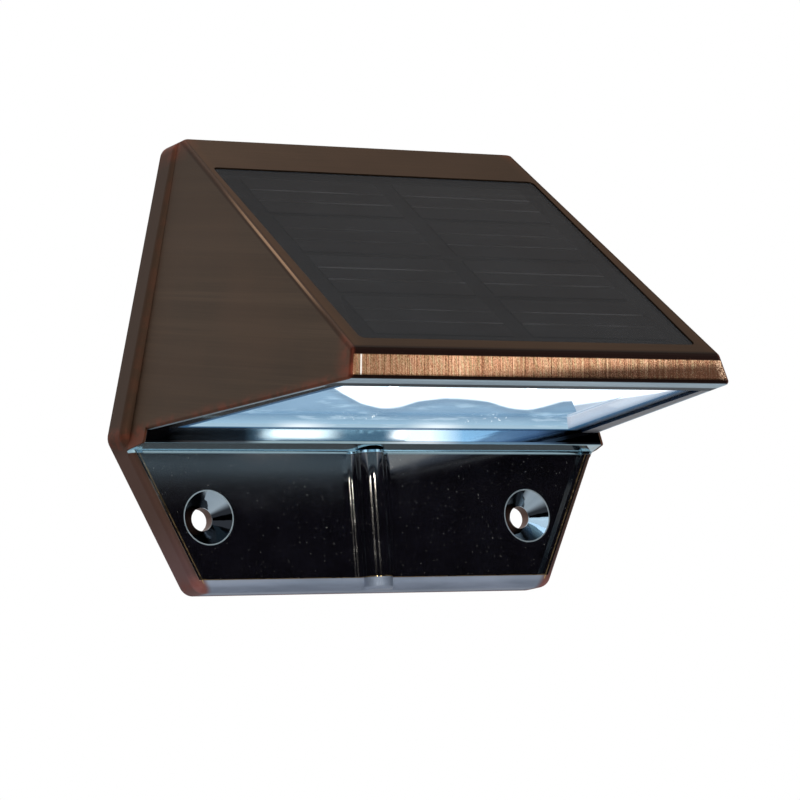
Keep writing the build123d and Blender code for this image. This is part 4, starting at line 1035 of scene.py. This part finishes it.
def chip_pins():
    """Gull-wing pins of the controller: a flat strip section carried along a path that leaves the chip
    level, drops to the board by 3 s squared less 2 s cubed, for s from 0 to 1, and runs out flat."""
    t = np.linspace(0.0, 1.0, 13)
    fall = np.clip((t - 0.3) / 0.4, 0.0, 1.0)
    out, up = 1.15 * t, 0.70 - 0.60 * (3.0 * fall**2 - 2.0 * fall**3)
    tangent = np.stack([np.gradient(out), np.gradient(up)], -1)
    tangent /= np.linalg.norm(tangent, axis=1, keepdims=True)
    corner_x = np.array([-0.2, 0.2, 0.2, -0.2])
    corner_n = np.array([-0.07, -0.07, 0.07, 0.07])
    size = np.concatenate([[0.0], np.ones(13), [0.0]])
    rows = np.concatenate([[0], np.arange(13), [12]])
    x = size[:, None] * corner_x
    along = out[rows][:, None] - size[:, None] * tangent[rows][:, 1:] * corner_n
    above = up[rows][:, None] + size[:, None] * tangent[rows][:, :1] * corner_n
    forms = []
    for edge_z, direction in ((32.2, 1.0), (28.2, -1.0)):
        for pin_x in (4.1, 5.37, 6.64, 7.9):
            z = edge_z + direction * (along - 0.1)
            forms.append(np.stack([pin_x + x, -9.0 - above, z], -1))
    return rings_piece("chip_pins", np.array(forms))


diode_windows().data.materials.append(nodes["leds"].data.materials[0])
for tinned_piece in (
    solder_joints("board_joints", BOARD_JOINTS, (0.0, -1.0, 0.0)),
    solder_joints("light_joints", LIGHT_JOINTS, (0.0, 0.0, 1.0)),
    resistor_caps(),
    chip_pins(),
):
    tinned_piece.data.materials.append(nodes["contact_plate"].data.materials[0])


# ================= stage: floor, cards, lamps, world, camera =================
FLOOR_Z, FLOOR_HALF = -0.115, 3.0
LIGHT_MIDDLE = (0.0, -0.03, 0.03)
WARM_WHITE = (1.0, 0.95, 0.84)
CARD_BLACK = {"Base_Color": (0.006, 0.006, 0.008), "Roughness": 0.9}


def sheet_mesh(name, corners):
    """A flat four-cornered face."""
    mesh = bpy.data.meshes.new(name)
    mesh.from_pydata(corners, [], [(0, 1, 2, 3)])
    piece = new_object(name, mesh)
    return piece


def corners_of(low_x, low_y, high_x, high_y, z):
    return [(low_x, low_y, z), (high_x, low_y, z), (high_x, high_y, z), (low_x, high_y, z)]


def only_reflected(card, **look):
    """Gives a card its finish and hides it from all but reflections."""
    f = Finish(card.name)
    f.set(Specular_IOR_Level=0.0, **look)
    f.to(card)
    card.visible_camera = card.visible_diffuse = card.visible_shadow = card.visible_transmission = False


def pale_floor():
    """Pale floor, seen from above only, so that the light can also be looked at from below."""
    f = Finish("pale_floor")
    mottle = f.grain(size=60.0, detail=2.0)
    f.set(Base_Color=f.ramp(mottle, (0.3, (0.84, 0.84, 0.845)), (0.7, (0.87, 0.87, 0.875))), Roughness=0.8)
    below = f.node("ShaderNodeNewGeometry").outputs["Backfacing"]
    clear = f.node("ShaderNodeBsdfTransparent")
    mixed = f.node("ShaderNodeMixShader", {0: below, 1: f.surface.outputs[0], 2: clear.outputs[0]})
    f.link(mixed.outputs[0], f.output.inputs["Surface"])
    f.to(sheet_mesh("floor", corners_of(-FLOOR_HALF, -FLOOR_HALF, FLOOR_HALF, FLOOR_HALF, FLOOR_Z)))


def dark_card():
    """A dark card in front, low down, that keeps the mirror-black black: part of an upright cylinder,
    each point at radius times (sin a, -cos a) for a turn a from the front."""
    radius, low, high, steps = 1.3, -0.10, 0.32, 40
    turn, climb = np.meshgrid(np.linspace(-112.0, 112.0, steps + 1), np.array([0.0, 1.0]), indexing="ij")
    angle = np.radians(turn)
    points = np.stack([radius * np.sin(angle), -radius * np.cos(angle), low + (high - low) * climb], axis=-1)
    first = 2 * np.arange(steps)
    faces = np.stack([first, first + 2, first + 3, first + 1], axis=-1)
    mesh = bpy.data.meshes.new("dark_card")
    mesh.from_pydata(points.reshape(-1, 3).tolist(), [], faces.tolist())
    card = new_object("dark_card", mesh)
    only_reflected(card, **CARD_BLACK)


def low_card():
    """A dark card low behind the light that keeps the underside's left run black."""
    only_reflected(sheet_mesh("low_card", corners_of(0.0, 0.4, 1.2, 1.5, -0.112)), **CARD_BLACK)


def overhead_card():
    """A dim warm card above and behind that keeps the slope and panel dark."""
    middle, half = Vector((0.65, 0.42, 1.05)), 0.8
    turn = middle.to_track_quat("Z", "Y")
    corners = [tuple(middle + turn @ Vector(corner)) for corner in corners_of(-half, -half, half, half, 0.0)]
    card = sheet_mesh("overhead_card", corners)
    only_reflected(card, Base_Color=(0.0, 0.0, 0.0), Emission_Color=(0.44, 0.35, 0.28), Emission_Strength=1.0)


def lamp(name, place, target, size, power, colour=(1.0, 1.0, 1.0)):
    """A square soft lamp that looks at target."""
    data = bpy.data.lights.new(name, "AREA")
    data.size, data.energy, data.color = size, power, colour
    made = new_object(name, data)
    made.location = place
    made.rotation_euler = (Vector(target) - Vector(place)).to_track_quat("-Z", "Y").to_euler()
    return made


def strip(name, place, target, width, height, power, colour):
    """A long low lamp that draws a bright line down a rounded mirror-black surface."""
    made = lamp(name, place, target, width, power, colour)
    made.data.shape, made.data.size_y = "RECTANGLE", height


def white_world():
    """White to the camera, in reflections and through glass; half as bright as light."""
    world = bpy.data.worlds.new("studio")
    bpy.context.scene.world = world
    world.use_nodes = True
    tree = world.node_tree
    tree.nodes.clear()
    path = tree.nodes.new("ShaderNodeLightPath")
    seen = path.outputs["Is Camera Ray"]
    for ray in ("Is Glossy Ray", "Is Transmission Ray"):
        either = tree.nodes.new("ShaderNodeMath")
        either.operation = "MAXIMUM"
        tree.links.new(seen, either.inputs[0])
        tree.links.new(path.outputs[ray], either.inputs[1])
        seen = either.outputs[0]
    strength = tree.nodes.new("ShaderNodeMix")
    tree.links.new(seen, strength.inputs[0])
    strength.inputs[2].default_value, strength.inputs[3].default_value = 0.5, 1.0
    ground = tree.nodes.new("ShaderNodeBackground")
    ground.inputs["Color"].default_value = (1.0, 1.0, 1.0, 1.0)
    tree.links.new(strength.outputs[0], ground.inputs["Strength"])
    output = tree.nodes.new("ShaderNodeOutputWorld")
    tree.links.new(ground.outputs[0], output.inputs["Surface"])


def photo_camera():
    """The photograph's camera: its place, its aim and its slight roll."""
    data = bpy.data.cameras.new("camera")
    data.sensor_width, data.lens = 36.0, 168.876
    place = (-0.385634, -0.678386, -0.084685)
    azimuth, elevation, roll = radians(30.388), radians(-7.979), radians(3.992)
    aim = Vector((sin(azimuth) * cos(elevation), cos(azimuth) * cos(elevation), -sin(elevation)))
    right = Vector((cos(azimuth), -sin(azimuth), 0.0))
    up = right.cross(aim)
    right, up = cos(roll) * right - sin(roll) * up, sin(roll) * right + cos(roll) * up
    made = new_object("camera", data)
    made.matrix_world = Matrix.Translation(place) @ Matrix((right, up, -aim)).transposed().to_4x4()
    bpy.context.scene.camera = made


pale_floor()
dark_card()
low_card()
overhead_card()
lamp("key", (-0.55, -0.75, 0.65), LIGHT_MIDDLE, 0.6, 3.0)
lamp("fill", (0.7, -0.5, 0.45), LIGHT_MIDDLE, 0.5, 1.2)
lamp("top", (0.0, 0.1, 0.9), LIGHT_MIDDLE, 0.6, 1.5)
strip("rib_middle", (0.163, -1.18, 0.163), (0.0, -0.009, 0.0), 0.20, 0.018, 1.5, WARM_WHITE)
strip("rib_root", (-0.516, -1.18, 0.174), (-0.004, -0.007, 0.0), 0.26, 0.016, 1.8, WARM_WHITE)
white_world()
photo_camera()
bpy.context.scene.view_settings.view_transform = "Standard"
